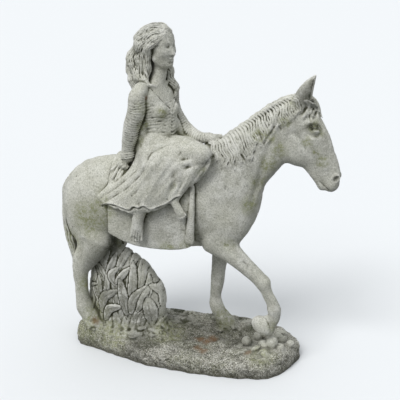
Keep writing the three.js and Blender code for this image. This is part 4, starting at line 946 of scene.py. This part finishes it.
# Leaves and petals, each over the ones before it: points [x, z] on the rock's face, half the blade's width
# where it is widest, how far it stands out
LEAVES = [
    [[[-308, 144], [-290, 140], [-279, 110], [-260, 92]], 7, 5],
    [[[-263, 143], [-279, 169], [-285, 200]], 14, 6], [[[-236, 197], [-244, 223], [-228, 257]], 12, 6],
    [[[-232, 186], [-218, 216], [-208, 246]], 10, 5], [[[-199, 205], [-188, 233], [-173, 264]], 11, 5],
    [[[-161, 213], [-157, 236], [-156, 261]], 10, 5], [[[-237, 173], [-251, 199], [-269, 222]], 8, 6],
    [[[-247, 97], [-259, 133], [-259, 174]], 11, 6], [[[-243, 108], [-232, 147], [-234, 181]], 10, 7],
    [[[-117, 107], [-110, 148], [-115, 185]], 10, 5], [[[-137, 138], [-131, 186], [-137, 229]], 12, 6],
    [[[-159, 108], [-153, 167], [-159, 220]], 13, 7], [[[-208, 160], [-219, 186], [-199, 208]], 11, 7],
    [[[-203, 164], [-186, 186], [-168, 207]], 10, 8], [[[-170, 72], [-180, 123], [-192, 175]], 14, 9],
    [[[-250, 69], [-243, 111], [-201, 139]], 14, 6], [[[-157, 78], [-149, 120], [-116, 154]], 13, 8],
    [[[-137, 84], [-123, 120], [-108, 155]], 11, 7], [[[-72, 92], [-75, 133], [-106, 157]], 11, 7],
    [[[-98, 46], [-104, 84], [-113, 118]], 18, 6], [[[-237, 46], [-224, 79], [-188, 91]], 13, 9],
    [[[-290, 133], [-280, 144], [-266, 148]], 5, 7], [[[-283, 72], [-285, 99], [-292, 126]], 9, 5],
]
BACK_LEAVES = 44  # low ones behind them


def back_leaves():
    """Low leaves behind the others, in a fan from the foot of the rock."""
    for n in range(BACK_LEAVES):
        row = n % 4
        share = (n // 4 + 0.5 * (row % 2)) / (BACK_LEAVES // 4)
        x = -306 + 236 * share
        z = 24 + 48 * row * (1 - 0.5 * share)
        lean = 0.9 * (x + 190) / 120 + 0.25 * math.sin(2.7 * n)
        long = 58 + 9 * math.sin(3.1 * n)
        tip = [x + long * math.sin(lean), z + long * math.cos(lean)]
        if tip[1] < 252 - 0.95 * abs(tip[0] + 225):
            yield [[x, z], [0.5 * (x + tip[0]) + 3 * math.sin(n), 0.5 * (z + tip[1])], tip], 11, 3.6


def leaf_height(x, z):
    """How far the leaves stand out of the rock at x, z, each leaf with a rib and a shadow line around it."""
    height = np.zeros(np.broadcast(x, z).shape)
    for points, width, out in [*back_leaves(), *LEAVES]:
        line = spaced(points, np.linspace(0, 1, 13))
        nearest = np.full(height.shape, FAR)
        share = np.zeros(height.shape)
        away = np.full(height.shape, FAR)
        for i, (a, b) in enumerate(zip(line, line[1:])):
            span = b - a
            t = np.clip(((x - a[0]) * span[0] + (z - a[1]) * span[1]) / (span @ span + 1e-9), 0, 1)
            gap = np.hypot(x - a[0] - t * span[0], z - a[1] - t * span[1])
            along = (i + t) / (len(line) - 1)
            wide = width * np.maximum(np.sin(math.pi * (0.13 + 0.8 * along)), 0.1) ** 0.7
            closer = gap / wide < nearest
            nearest = np.where(closer, gap / wide, nearest)
            share = np.where(closer, along, share)
            away = np.where(closer, gap, away)
        rib = 1.8 * np.exp(-(away / 1.8) ** 2) * (1 - ease(0.8, 0.95, share))
        rise = out * (0.62 + 0.38 * np.sin(math.pi * share)) * (1 - 0.4 * nearest**2) - rib
        ring = 1 - ease(0, 5.0, (nearest - 1) * width)
        height = np.where(nearest < 1, rise, height - 3.4 * ring)
    return np.maximum(height, -3.4)


def leaves(clay):
    low = vec(-345, -140, 6)
    high = vec(-60, 140, 262)

    def distance(x, y, z):
        rock = FAR
        for _, _, piece in ROCK:
            rock = np.minimum(rock, piece(x, y, z))
        return (rock - leaf_height(x, z)).astype(np.float32)

    clay.add([(low, high, distance)], 1.5)


# The plinth: an uneven oval of ground, in shares of its length and width from its middle
PLINTH_OUTLINE = [
    [-0.5, 0.03], [-0.47, -0.2], [-0.355, -0.29], [-0.22, -0.39], [-0.08, -0.465], [0.12, -0.49],
    [0.31, -0.47],
    [0.425, -0.365], [0.485, -0.1], [0.5, 0.13], [0.43, 0.34], [0.27, 0.45], [0.015, 0.49], [-0.21, 0.5],
    [-0.41, 0.42],
    [-0.49, 0.24],
]
EDGE_ROUND = 26
# Banks of earth and, after them, the stones at the raised hoof: middle x, y, z and three radii
BANKS = [
    [-170, -6, -4, 138, 96, 52], [-40, 60, -6, 150, 70, 22], [150, 84, -4, 120, 50, 20],
    [255, -60, -8, 62, 66, 24],
]
STONES = [
    [183, -28, 13, 17, 14, 14], [237, -44, 14, 19, 16, 16], [275, 17, 14, 24, 20, 17],
    [285, -46, 13, 16, 14, 14], [247, -88, 12, 17, 14, 13], [248, 11, 13, 15, 13, 14],
    [215, -72, 11, 12, 10, 10], [308, -13, 12, 14, 12, 12], [210, 7, 13, 14, 12, 14],
    [262, -48, 28, 17, 17, 20],
]


def roughness(x, y):
    return 2.6 * np.sin(x * 0.031 + 1.3 * np.sin(y * 0.045)) * np.cos(y * 0.052 + 0.8) + 2.1 * np.sin(
        x * 0.083 + 2 * np.sin(y * 0.061)
    ) * np.sin(y * 0.097 - x * 0.02)


def edge_distance(x, y):
    """Signed distance of each column of the grid to the plinth's outline, negative inside."""
    share = np.array(PLINTH_OUTLINE)
    corners = np.stack([share[:, 0] * PLINTH_LENGTH + PLINTH_MIDDLE, share[:, 1] * PLINTH_WIDTH], axis=-1)
    count = len(corners)
    wrapped = np.vstack([corners[-2:], corners, corners[:3]])
    outline = swept(wrapped, 6)[12:12 + 6 * count + 1]
    nearest = np.full(np.broadcast(x, y).shape, FAR)
    inside = np.zeros(nearest.shape, bool)
    for a, b in zip(outline, outline[1:]):
        span = b - a
        t = np.clip(((x - a[0]) * span[0] + (y - a[1]) * span[1]) / (span @ span + 1e-9), 0, 1)
        nearest = np.minimum(nearest, np.hypot(x - a[0] - t * span[0], y - a[1] - t * span[1]))
        crosses = ((a[1] > y) != (b[1] > y)) & (x < a[0] + (y - a[1]) / (b[1] - a[1] + 1e-12) * span[0])
        inside ^= crosses
    return np.where(inside, -nearest, nearest)


def plinth(clay):
    low = vec(-0.56 * PLINTH_LENGTH, -0.56 * PLINTH_WIDTH, -PLINTH_THICKNESS - 20)
    high = vec(0.56 * PLINTH_LENGTH, 0.56 * PLINTH_WIDTH, 60)

    def distance(x, y, z):
        side = edge_distance(x, y) + roughness(y + 60, x + z)
        top = z - roughness(x, y)
        for cx, cy, cz, rx, ry, rz in BANKS:
            bank = round_distance(x - cx, y - cy, z - cz - roughness(x, y), rx, ry, rz)
            top = smooth_min(top, bank, 20)
        return np.maximum(smooth_max(top, side, EDGE_ROUND), -PLINTH_THICKNESS - 10 - z).astype(np.float32)

    clay.add([(low, high, distance)], 12)
    for x, y, z, *radii in STONES:
        clay.add(blob(x, y, z, radii, 37 * x), 4)
    rng = np.random.default_rng(11)
    for n in range(150):  # pebbles pressed into the earth, and the pits between them
        angle, out = rng.uniform(0, 2 * math.pi), math.sqrt(rng.uniform(0.02, 0.9))
        x = PLINTH_MIDDLE + 0.47 * PLINTH_LENGTH * out * math.cos(angle)
        y = 0.45 * PLINTH_WIDTH * out * math.sin(angle)
        top = clay.cast(vec(x, y, 70), vec(0, 0, -1), 120)
        radii = rng.uniform([5, 5, 3], [13, 11, 6])
        if top is None or top[2] > 34:
            continue
        if n % 3:
            clay.add(blob(*top, radii, rng.uniform(0, 180)), 4)
        else:
            clay.carve(blob(*(top + vec(0, 0, 2)), 0.8 * radii, rng.uniform(0, 180)), 5)


# Meshing


def surface_of(clay):
    """The clay's zero surface as points and quads, one point in each cell that it passes through."""
    inside = clay.value < 0
    corners = np.array(CORNERS)
    every = np.ones(clay.size - 1, bool)
    some = np.zeros(clay.size - 1, bool)
    for i, j, k in corners:
        part = inside[i:i + every.shape[0], j:j + every.shape[1], k:k + every.shape[2]]
        every &= part
        some |= part
    mixed = some & ~every
    cells = np.argwhere(mixed)
    number = np.flatnonzero(mixed)
    total = np.zeros((len(cells), 3))
    count = np.zeros(len(cells))
    for a in range(8):
        for b in range(a + 1, 8):
            if np.abs(corners[a] - corners[b]).sum() != 1:
                continue
            va = clay.value[tuple((cells + corners[a]).T)].astype(float)
            vb = clay.value[tuple((cells + corners[b]).T)].astype(float)
            cross = (va < 0) != (vb < 0)
            t = np.where(cross, va / np.where(cross, va - vb, 1), 0)
            total += np.where(cross[:, None], corners[a] + t[:, None] * (corners[b] - corners[a]), 0)
            count += cross
    points = clay.low + clay.cell * (cells + total / count[:, None])
    quads = []
    for axis in range(3):
        u, v = (axis + 1) % 3, (axis + 2) % 3
        near = [slice(1, -1)] * 3
        far = [slice(1, -1)] * 3
        far[axis] = slice(2, None)
        differs = inside[tuple(near)] != inside[tuple(far)]
        base = np.argwhere(differs) + 1
        out = inside[tuple(base.T)]
        around = []
        for du, dv in ((1, 1), (0, 1), (0, 0), (1, 0)):
            cell = base.copy()
            cell[:, u] -= du
            cell[:, v] -= dv
            flat = np.ravel_multi_index(tuple(cell.T), mixed.shape)
            around.append(np.searchsorted(number, flat))
        around = np.stack(around, axis=-1)
        quads.append(np.where(out[:, None], around, around[:, ::-1]))
    return points, np.vstack(quads)


def box_blur(field, reach):
    for axis in range(3):
        pad = [(0, 0)] * 3
        pad[axis] = (reach + 1, reach)
        run = np.cumsum(np.pad(field, pad, mode="edge"), axis=axis, dtype=np.float32)
        high = np.take(run, range(2 * reach + 1, run.shape[axis]), axis=axis)
        low = np.take(run, range(0, run.shape[axis] - 2 * reach - 1), axis=axis)
        field = (high - low) / (2 * reach + 1)
    return field


def fullness(clay, points, reach_mm):
    """How much of a box around each point is stone: half of it on a flat face, more in a hollow."""
    solid = (clay.value < 0).astype(np.float32)
    even = solid[:clay.size[0] // 2 * 2, :clay.size[1] // 2 * 2, :clay.size[2] // 2 * 2]
    nx, ny, nz = (count // 2 for count in even.shape)
    coarse = even.reshape(nx, 2, ny, 2, nz, 2).mean(axis=(1, 3, 5))
    reach = max(int(round(reach_mm / (2 * clay.cell))), 1)
    coarse = box_blur(box_blur(coarse, reach), max(reach // 2, 1))
    p = (points - clay.low - 0.5 * clay.cell) / (2 * clay.cell)
    base = np.clip(np.floor(p).astype(int), 0, np.array(coarse.shape) - 2)
    f = np.clip(p - base, 0, 1)
    total = np.zeros(len(p))
    for (i, j, k), share in corner_shares(f):
        total += share * coarse[base[:, 0] + i, base[:, 1] + j, base[:, 2] + k]
    return total


def creased(clay, points, reach):
    """How far stone stands above points in their neighbourhood: more in a crease, less on an edge."""
    around = [step for axis in np.eye(3) for step in (axis, -axis)]
    around += [vec(a, b, c) / math.sqrt(3) for a in (-1, 1) for b in (-1, 1) for c in (-1, 1)]
    return -sum(clay.level(points + reach * step) for step in around) / len(around) / reach


def weathered(clay, points):
    """Points moved in and out along the surface by the roughness of the cast stone."""
    slope = np.stack([
        clay.level(points + step) - clay.level(points - step)
        for step in np.eye(3) * 0.75 * clay.cell
    ], axis=-1)
    slope /= np.linalg.norm(slope, axis=1)[:, None] + 1e-9
    ground = 1 - ease(16, 50, points[:, 2])
    under = points[:, 2] < -PLINTH_THICKNESS + 1.5
    coarse = 0.9 * lattice_noise(points, 14, 3) + 1.1 * lattice_noise(points, 5.5, 4)
    fine = 0.45 * lattice_noise(points, 12, 5) + 0.4 * lattice_noise(points, 5, 6)
    move = np.where(under, 0, -0.6 * ground + coarse * ground + fine * (1 - ground))
    return points + slope * move[:, None]


# Where moss and algae have settled: x, y, z and reach. The rusty places follow, then the sooty ones with
# painted shade, then the stained ones with painted shade
MOSS = [
    [-214, -90, 415, 42], [-262, -80, 372, 62], [-330, -40, 290, 50], [-112, -72, 700, 26],
    [-112, -62, 650, 28],
    [-118, -60, 600, 22], [-52, -56, 684, 20], [264, -32, 596, 26], [238, -38, 556, 32],
    [218, -44, 500, 34],
    [196, -50, 440, 34], [206, -44, 636, 24], [236, -36, 634, 22], [276, -30, 676, 20], [352, -28, 668, 20],
    [368, -24, 650, 16], [338, -30, 626, 18], [376, -20, 572, 20], [360, -26, 600, 14],
    [-30, -100, 308, 26],
    [22, -100, 316, 24], [-78, -118, 424, 20], [-286, -62, 150, 36], [-264, -66, 56, 44],
    [-206, -104, 438, 18],
    [-282, -40, 8, 74], [-200, -80, 4, 60], [236, -96, 8, 44], [-268, -72, 108, 32], [60, -92, 546, 22],
    [300, -20, 728, 18], [100, 40, 44, 40], [262, -52, 90, 24], [132, -60, 330, 26], [-206, 0, 290, 40],
    [-60, -30, 6, 60], [110, -100, 560, 22], [-10, -106, 500, 20],
]
RUST = [
    [-262, -78, 44, 17], [44, -31, 4, 17], [69, -43, 4, 17], [70, -92, 4, 17], [81, -21, 4, 17],
    [51, -79, 4, 17],
    [-98, -66, 726, 8], [196, -80, 8, 14],
]


# Where the stone is darkest all over: soot, and painted shade where the belly shades the rock and the ground
# beneath it
SOOT_AND_SHADE = [
    [-200, -66, 120, 105], [-240, -40, 236, 70], [-130, -50, 60, 60], [-110, -10, 850, 44],
    [-90, -6, 905, 26],
    [10, 0, 4, 95], [100, 20, 4, 80], [180, 10, 4, 80], [340, -24, 745, 50], [-70, 10, 4, 70],
    [-120, -90, -10, 60],
]


# Where the stone is nearly black: water stains, and painted shade in deep hollows such as around the horse's
# eye, nostril and ear, the skirt's hollow, the gap between arm and waist and the rock's top under the belly
STAINS_AND_SHADE = [
    [-222, -40, 284, 40], [-200, -54, 262, 24], [346, -28, 669, 13], [361, -26, 667, 10],
    [374, -21, 659, 8],
    [416, -20, 526, 10], [349, -26, 780, 17], [342, -26, 748, 12], [330, -10, 742, 24], [-109, 119, 4, 32],
    [-60, 118, 4, 35], [-19, 144, 4, 28], [-130, 31, 4, 28], [-78, 18, 4, 25], [55, 94, 4, 32],
    [109, 54, 4, 32], [135, 102, 4, 25], [-17, 34, 4, 22], [181, 61, 4, 19], [-181, 86, 4, 22],
    [4, -107, 544, 10], [-4, -109, 516, 9], [-15, -112, 487, 8],
    [-91, -56, 690, 7], [-93, -56, 665, 8], [-95, -56, 639, 8], [-99, -56, 617, 8],
]


def settled(points, places):
    """How near points are to any of the places, from 0 to 1."""
    total = np.zeros(len(points))
    for x, y, z, reach in places:
        away = np.linalg.norm(points - vec(x, y, z), axis=1) / reach
        total = np.maximum(total, 1 - ease(0.35, 1.25, away))
    return total


def mesh_of(name, points, quads):
    mesh = bpy.data.meshes.new(name)
    mesh.vertices.add(len(points))
    mesh.vertices.foreach_set("co", points.astype(np.float32).ravel())
    mesh.loops.add(quads.size)
    mesh.loops.foreach_set("vertex_index", quads.astype(np.int32).ravel())
    mesh.polygons.add(len(quads))
    mesh.polygons.foreach_set("loop_start", np.arange(0, quads.size, 4, dtype=np.int32))
    mesh.polygons.foreach_set("loop_total", np.full(len(quads), 4, np.int32))
    mesh.update(calc_edges=True)
    mesh.validate()
    return mesh


# Room for the clay, from behind the tail to before the nose and over the rider's head
TAIL_END = -380
NOSE_END = 450
HEAD_TOP = 930


def sculpt():
    margin = 4 * CELL
    floor_z = -PLINTH_THICKNESS
    clay = Clay(
        vec(TAIL_END, -0.54 * PLINTH_WIDTH, floor_z - 10.5 * CELL) - [0, margin, 0],
        vec(NOSE_END, 0.54 * PLINTH_WIDTH + margin, HEAD_TOP + margin),
        CELL,
    )
    clay.add(ROCK, 18)
    leaves(clay)
    horse(clay)
    rider(clay)
    plinth(clay)
    clay.value = np.maximum(clay.value, (floor_z - clay.axes[2])[None, None, :])
    return clay


def largest_part(piece):
    """Keeps the piece's largest connected part."""
    bpy.ops.object.select_all(action="DESELECT")
    bpy.context.view_layer.objects.active = piece
    piece.select_set(True)
    bpy.ops.mesh.separate(type="LOOSE")
    parts = sorted(bpy.context.selected_objects, key=lambda o: -len(o.data.vertices))
    for part in parts[1:]:
        bpy.data.objects.remove(part)
    parts[0].select_set(False)
    return parts[0]


def statue_piece():
    clay = sculpt()
    points, quads = surface_of(clay)
    points = weathered(clay, points)
    piece = bpy.data.objects.new("statue_carved", mesh_of("statue_carved", points, quads))
    bpy.context.scene.collection.objects.link(piece)
    piece = largest_part(piece)
    faces = 2 * len(piece.data.polygons)
    if faces > TRIANGLES:
        thin = piece.modifiers.new("thin", "DECIMATE")
        thin.ratio = TRIANGLES / faces
        thin.use_collapse_triangulate = True
        done = bpy.data.meshes.new_from_object(piece.evaluated_get(bpy.context.evaluated_depsgraph_get()))
        piece.modifiers.clear()
        piece.data = done
    mesh = piece.data
    co = np.empty(3 * len(mesh.vertices), np.float32)
    mesh.vertices.foreach_get("co", co)
    places = co.reshape(-1, 3).astype(float)
    hollow = fullness(clay, places, 6)
    shelter = fullness(clay, places, 26)
    layers = (
        ("hollow", hollow),
        ("shelter", shelter),
        # creases and folds, which the material darkens as painted shade
        ("crease", creased(clay, places, 3.2)),
        ("fold", creased(clay, places, 7)),
        ("moss", settled(places, MOSS)),
        ("rust", settled(places, RUST)),
        # soot, and painted shade under the belly
        ("soot_and_shade", settled(places, SOOT_AND_SHADE)),
        # water stains, and painted shade in the deep hollows
        ("stain_and_shade", settled(places, STAINS_AND_SHADE)),
        ("pale", settled(places, [[x, y, z, 1.7 * wide] for x, y, z, wide, _, _ in STONES])),
    )
    for name, values in layers:
        mesh.attributes.new(name, "FLOAT", "POINT").data.foreach_set("value", values.astype(np.float32))
    low, high = (np.array(corner) for corner in cad_box)
    final = (places + vec(-PLINTH_MIDDLE, 0, PLINTH_THICKNESS)) * MM
    print("outside the CAD box by", low - final.min(0), final.max(0) - high, "faces", len(mesh.polygons))
    final = np.clip(final, low, high)
    mesh.vertices.foreach_set("co", final.astype(np.float32).ravel())
    mesh.shade_smooth()
    mesh.update()
    return piece


# Materials


class Nodes:
    """Short names for building a material's node tree."""

    def __init__(self, name):
        self.material = bpy.data.materials.new(name)
        self.material.use_nodes = True
        self.tree = self.material.node_tree
        self.shader = self.tree.nodes["Principled BSDF"]
        self.place = self.tree.nodes.new("ShaderNodeTexCoord").outputs["Object"]

    def feed(self, socket, value):
        if isinstance(value, bpy.types.NodeSocket):
            self.tree.links.new(value, socket)
        else:
            socket.default_value = value

    def node(self, kind, inputs=None, **settings):
        made = self.tree.nodes.new(kind)
        for key, value in settings.items():
            setattr(made, key, value)
        for key, value in (inputs or {}).items():
            self.feed(made.inputs[key], value)
        return made

    def noise(self, scale, detail, rough):
        settings = {"Vector": self.place, "Scale": scale, "Detail": detail, "Roughness": rough}
        return self.node("ShaderNodeTexNoise", settings).outputs["Fac"]

    def spots(self, scale):
        return self.node("ShaderNodeTexVoronoi", {"Vector": self.place, "Scale": scale}).outputs["Distance"]

    def math(self, operation, a, b=0.0, c=0.0):
        made = self.node("ShaderNodeMath", operation=operation)
        for socket, value in zip(made.inputs, (a, b, c)):
            self.feed(socket, value)
        return made.outputs[0]

    def span(self, value, low, high, to_low=0.0, to_high=1.0):
        settings = {"Value": value, "From Min": low, "From Max": high, "To Min": to_low, "To Max": to_high}
        return self.node("ShaderNodeMapRange", settings, interpolation_type="SMOOTHSTEP").outputs["Result"]

    def mix(self, share, a, b):
        made = self.node("ShaderNodeMix", data_type="RGBA")
        for socket, value in zip((made.inputs[0], made.inputs[6], made.inputs[7]), (share, a, b)):
            self.feed(socket, value)
        return made.outputs[2]

    def attribute(self, name):
        return self.node("ShaderNodeAttribute", attribute_name=name).outputs["Fac"]


def colour(red, green, blue):
    """A colour from 0 to 255 in sRGB, as the shader's linear one."""
    return (*(((c / 255 + 0.055) / 1.055) ** 2.4 for c in (red, green, blue)), 1.0)


STONE_DULL = colour(186, 185, 174)
STONE_CLEAN = colour(218, 217, 209)
STONE_WARM = colour(204, 203, 186)
GRAIN_DARK = colour(124, 125, 110)
GRAIN_PALE = colour(240, 239, 232)
ALGAE = colour(152, 152, 124)
MOSS_GREEN = colour(134, 138, 84)
# grime and painted shade in the small hollows
GRIME_AND_SHADE = colour(70, 70, 50)
# soot, and painted shade under the belly
SOOT_AND_SHADE_GREY = colour(62, 62, 52)
# painted shade in the sheltered valleys between parts
SHELTER_SHADE = colour(72, 72, 52)
# painted shade in the folds
FOLD_SHADE = colour(76, 76, 56)
# painted shade in the creases
CREASE_SHADE = colour(60, 60, 44)
EDGE_PALE = colour(236, 235, 228)
EARTH_DARK = colour(128, 126, 112)
EARTH_PALE = colour(178, 176, 166)
EARTH_GREEN = colour(118, 120, 92)
PORE = colour(48, 47, 36)
CRUMB = colour(226, 224, 214)
# painted shade in the creases of the ground
EARTH_CREASE = colour(52, 51, 40)
# soot, and painted shade on the ground under the horse
EARTH_SOOT_AND_SHADE = colour(52, 52, 40)
EARTH_MOSS = colour(140, 144, 96)
EARTH_EDGE = colour(66, 64, 52)
PEBBLE = colour(204, 203, 192)
RUST_BROWN = colour(112, 82, 52)
# water stains, and painted shade in the deep hollows
STAIN_AND_SHADE_BLACK = colour(58, 60, 42)


def cast_stone():
    # weathered cast stone, with painted shade in its hollows, creases and under the belly
    n = Nodes("cast_stone_weathered_and_shaded")
    hollow = n.attribute("hollow")
    shelter = n.attribute("shelter")
    height = n.node("ShaderNodeSeparateXYZ", {"Vector": n.place}).outputs["Z"]
    grain = n.noise(900.0, 3.0, 0.7)
    mottle = n.noise(26.0, 5.0, 0.62)
    drift = n.noise(7.0, 3.0, 0.5)
    patch = n.noise(13.0, 6.0, 0.68)

    stone = n.mix(n.span(mottle, 0.35, 0.68), STONE_DULL, STONE_CLEAN)
    stone = n.mix(n.span(drift, 0.38, 0.66, 0.0, 0.5), stone, STONE_WARM)
    sand = n.noise(250.0, 3.0, 0.85)
    stone = n.mix(n.span(sand, 0.36, 0.52, 0.52, 0.0), stone, GRAIN_DARK)
    stone = n.mix(n.span(sand, 0.51, 0.66, 0.0, 0.45), stone, GRAIN_PALE)

    # algae where water stands, and moss in its own places
    damp = n.math("ADD", n.span(shelter, 0.48, 0.74, 0.0, 0.5), n.span(hollow, 0.53, 0.64, 0.0, 0.35))
    moss = n.attribute("moss")
    crease = n.attribute("crease")
    fold = n.attribute("fold")
    growth = n.math("MULTIPLY", n.span(patch, 0.36, 0.62), damp)
    settled_moss = n.math("MULTIPLY", n.span(n.noise(85.0, 6.0, 0.85), 0.42, 0.6, 0.12, 1.0), moss)
    stone = n.mix(n.math("MINIMUM", growth, 0.7), stone, ALGAE)
    stone = n.mix(n.math("MINIMUM", n.math("MULTIPLY", settled_moss, 0.85), 0.72), stone, MOSS_GREEN)

    # grime and painted shade deep in the carving, soot and painted shade where the stone is darkest, painted
    # shade in sheltered valleys, folds and creases, and a paler skin on what sticks out
    # grime and painted shade in the small hollows
    stone = n.mix(n.span(hollow, 0.56, 0.68, 0.0, 0.8), stone, GRIME_AND_SHADE)
    # soot, and painted shade under the belly
    stone = n.mix(n.math("MULTIPLY", n.attribute("soot_and_shade"), 0.52), stone, SOOT_AND_SHADE_GREY)
    # painted shade in the sheltered valleys between parts
    stone = n.mix(n.span(shelter, 0.54, 0.76, 0.0, 0.6), stone, SHELTER_SHADE)
    # painted shade in the folds
    stone = n.mix(n.span(fold, 0.05, 0.34, 0.0, 0.7), stone, FOLD_SHADE)
    # painted shade in the creases
    stone = n.mix(n.span(crease, 0.08, 0.33, 0.0, 0.85), stone, CREASE_SHADE)
    stone = n.mix(n.span(crease, -0.06, -0.3, 0.0, 0.6), stone, EDGE_PALE)

    # the plinth: rough grey ground with dark pores, a breath of green and pale crumbs
    soil = n.mix(n.span(n.noise(36.0, 5.0, 0.7), 0.34, 0.64), EARTH_DARK, EARTH_PALE)
    soil = n.mix(n.span(n.noise(17.0, 4.0, 0.6), 0.46, 0.62, 0.0, 0.55), soil, EARTH_GREEN)
    soil = n.mix(n.span(n.noise(230.0, 3.0, 0.85), 0.38, 0.52, 0.95, 0.0), soil, PORE)
    soil = n.mix(n.span(n.noise(270.0, 3.0, 0.85), 0.5, 0.62, 0.0, 0.95), soil, CRUMB)
    # painted shade in the creases of the ground
    soil = n.mix(n.span(crease, 0.12, 0.45, 0.0, 0.5), soil, EARTH_CREASE)
    # soot, and painted shade on the ground under the horse
    soil = n.mix(n.math("MULTIPLY", n.attribute("soot_and_shade"), 0.58), soil, EARTH_SOOT_AND_SHADE)
    soil = n.mix(n.math("MULTIPLY", settled_moss, 0.6), soil, EARTH_MOSS)
    soil = n.mix(n.span(height, 0.003, 0.022, 0.65, 0.0), soil, EARTH_EDGE)
    soil = n.mix(n.math("MULTIPLY", n.attribute("pale"), 0.4), soil, PEBBLE)
    wander = n.math("MULTIPLY_ADD", n.noise(30.0, 4.0, 0.6), 0.05, -0.025)
    low = n.math("ADD", height, wander)
    stone = n.mix(n.span(low, 0.050, 0.078, 1.0, 0.0), stone, soil)
    rust = n.math("MULTIPLY", n.span(n.noise(90.0, 5.0, 0.8), 0.36, 0.52, 0.35, 1.0), n.attribute("rust"))
    stone = n.mix(n.math("MULTIPLY", rust, 0.8), stone, RUST_BROWN)

    # water stains, and painted shade in the deep hollows
    stain_and_shade = n.math("MULTIPLY", n.span(n.noise(110.0, 6.0, 0.8), 0.34, 0.54, 0.3, 0.95),
                   n.attribute("stain_and_shade"))
    stone = n.mix(stain_and_shade, stone, STAIN_AND_SHADE_BLACK)

    n.feed(n.shader.inputs["Base Color"], stone)
    n.feed(n.shader.inputs["Roughness"], n.span(mottle, 0.3, 0.7, 0.95, 0.82))
    n.shader.inputs["Specular IOR Level"].default_value = 0.25
    pits = n.span(n.spots(230.0), 0.0, 0.35, -0.8, 0.0)
    bumps = n.math("ADD", n.math("MULTIPLY", grain, 0.5),
                   n.math("ADD", n.math("MULTIPLY", sand, 1.6), pits))
    bump = n.node("ShaderNodeBump", {"Height": bumps, "Strength": 0.8, "Distance": 0.0022})
    n.feed(n.shader.inputs["Normal"], bump.outputs["Normal"])
    return n.material


FLOOR_PAINT = (0.76, 0.775, 0.786, 1)


def floor_paint():
    n = Nodes("pale_floor")
    n.feed(n.shader.inputs["Base Color"], FLOOR_PAINT)
    n.shader.inputs["Roughness"].default_value = 0.9
    return n.material


# The stage

FLOOR_HALF = 14.0
SUN_TOWARDS = (-0.35, -0.75, 1.0)
SUN_POWER = 1.9
SUN_SPREAD = 30  # degrees
# The sky from straight below to straight above
SKY = (
    (0.0, (0.16, 0.17, 0.17, 1)),
    (0.42, (0.24, 0.25, 0.26, 1)),
    (0.56, (0.55, 0.58, 0.60, 1)),
    (1.0, (0.98, 1.0, 1.02, 1)),
)
SKY_STRENGTH = 0.9


def studio():
    mesh = bpy.data.meshes.new("floor")
    half = FLOOR_HALF
    corners = [(-half, -half, 0), (half, -half, 0), (half, half, 0), (-half, half, 0)]
    mesh.from_pydata(corners, [], [(0, 1, 2, 3)])
    floor = bpy.data.objects.new("floor", mesh)
    bpy.context.scene.collection.objects.link(floor)
    floor.data.materials.append(floor_paint())
    floor.visible_diffuse = False
    bpy.context.scene.collection.objects.link(sky_lamp("sun", SUN_TOWARDS, SUN_POWER, SUN_SPREAD))
    bpy.context.scene.world = overcast()
    bpy.context.scene.view_settings.view_transform = "Standard"


def sky_lamp(name, towards, power, spread):
    """A soft lamp far away in the direction towards."""
    lamp = bpy.data.objects.new(name, bpy.data.lights.new(name, "SUN"))
    lamp.data.energy = power
    lamp.data.angle = math.radians(spread)
    lamp.rotation_euler = Vector(towards).to_track_quat("Z", "Y").to_euler()
    return lamp


def overcast():
    """Even studio light, bright above and dim below."""
    world = bpy.data.worlds.new("studio")
    world.use_nodes = True
    nodes, links = world.node_tree.nodes, world.node_tree.links
    place = nodes.new("ShaderNodeTexCoord")
    split = nodes.new("ShaderNodeSeparateXYZ")
    links.new(place.outputs["Generated"], split.inputs["Vector"])
    ramp = nodes.new("ShaderNodeValToRGB")
    share = nodes.new("ShaderNodeMapRange")
    share.inputs["From Min"].default_value = -1.0
    links.new(split.outputs["Z"], share.inputs["Value"])
    links.new(share.outputs["Result"], ramp.inputs["Fac"])
    while len(ramp.color_ramp.elements) < len(SKY):
        ramp.color_ramp.elements.new(0.5)
    for element, (at, tint) in zip(ramp.color_ramp.elements, SKY):
        element.position = at
        element.color = tint
    links.new(ramp.outputs["Color"], nodes["Background"].inputs["Color"])
    nodes["Background"].inputs["Strength"].default_value = SKY_STRENGTH
    return world


FOCAL_PIXELS = 923  # the camera's focal length
PICTURE_PIXELS = 400


def camera():
    lens = bpy.data.cameras.new("camera")
    lens.sensor_width = 36
    lens.lens = lens.sensor_width * FOCAL_PIXELS / PICTURE_PIXELS
    lens.clip_end = 60
    eye = bpy.data.objects.new("camera", lens)
    target = (SIGHT_TARGET + [-PLINTH_MIDDLE, 0, PLINTH_THICKNESS]) * MM
    eye.location = target - SIGHT_DISTANCE * MM * SIGHT
    eye.rotation_euler = Vector(SIGHT).to_track_quat("-Z", "Y").to_euler()
    bpy.context.scene.collection.objects.link(eye)
    bpy.context.scene.camera = eye


statue = statue_piece()
statue.data.materials.append(cast_stone())
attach(statue, "root")
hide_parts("statue")
studio()
camera()
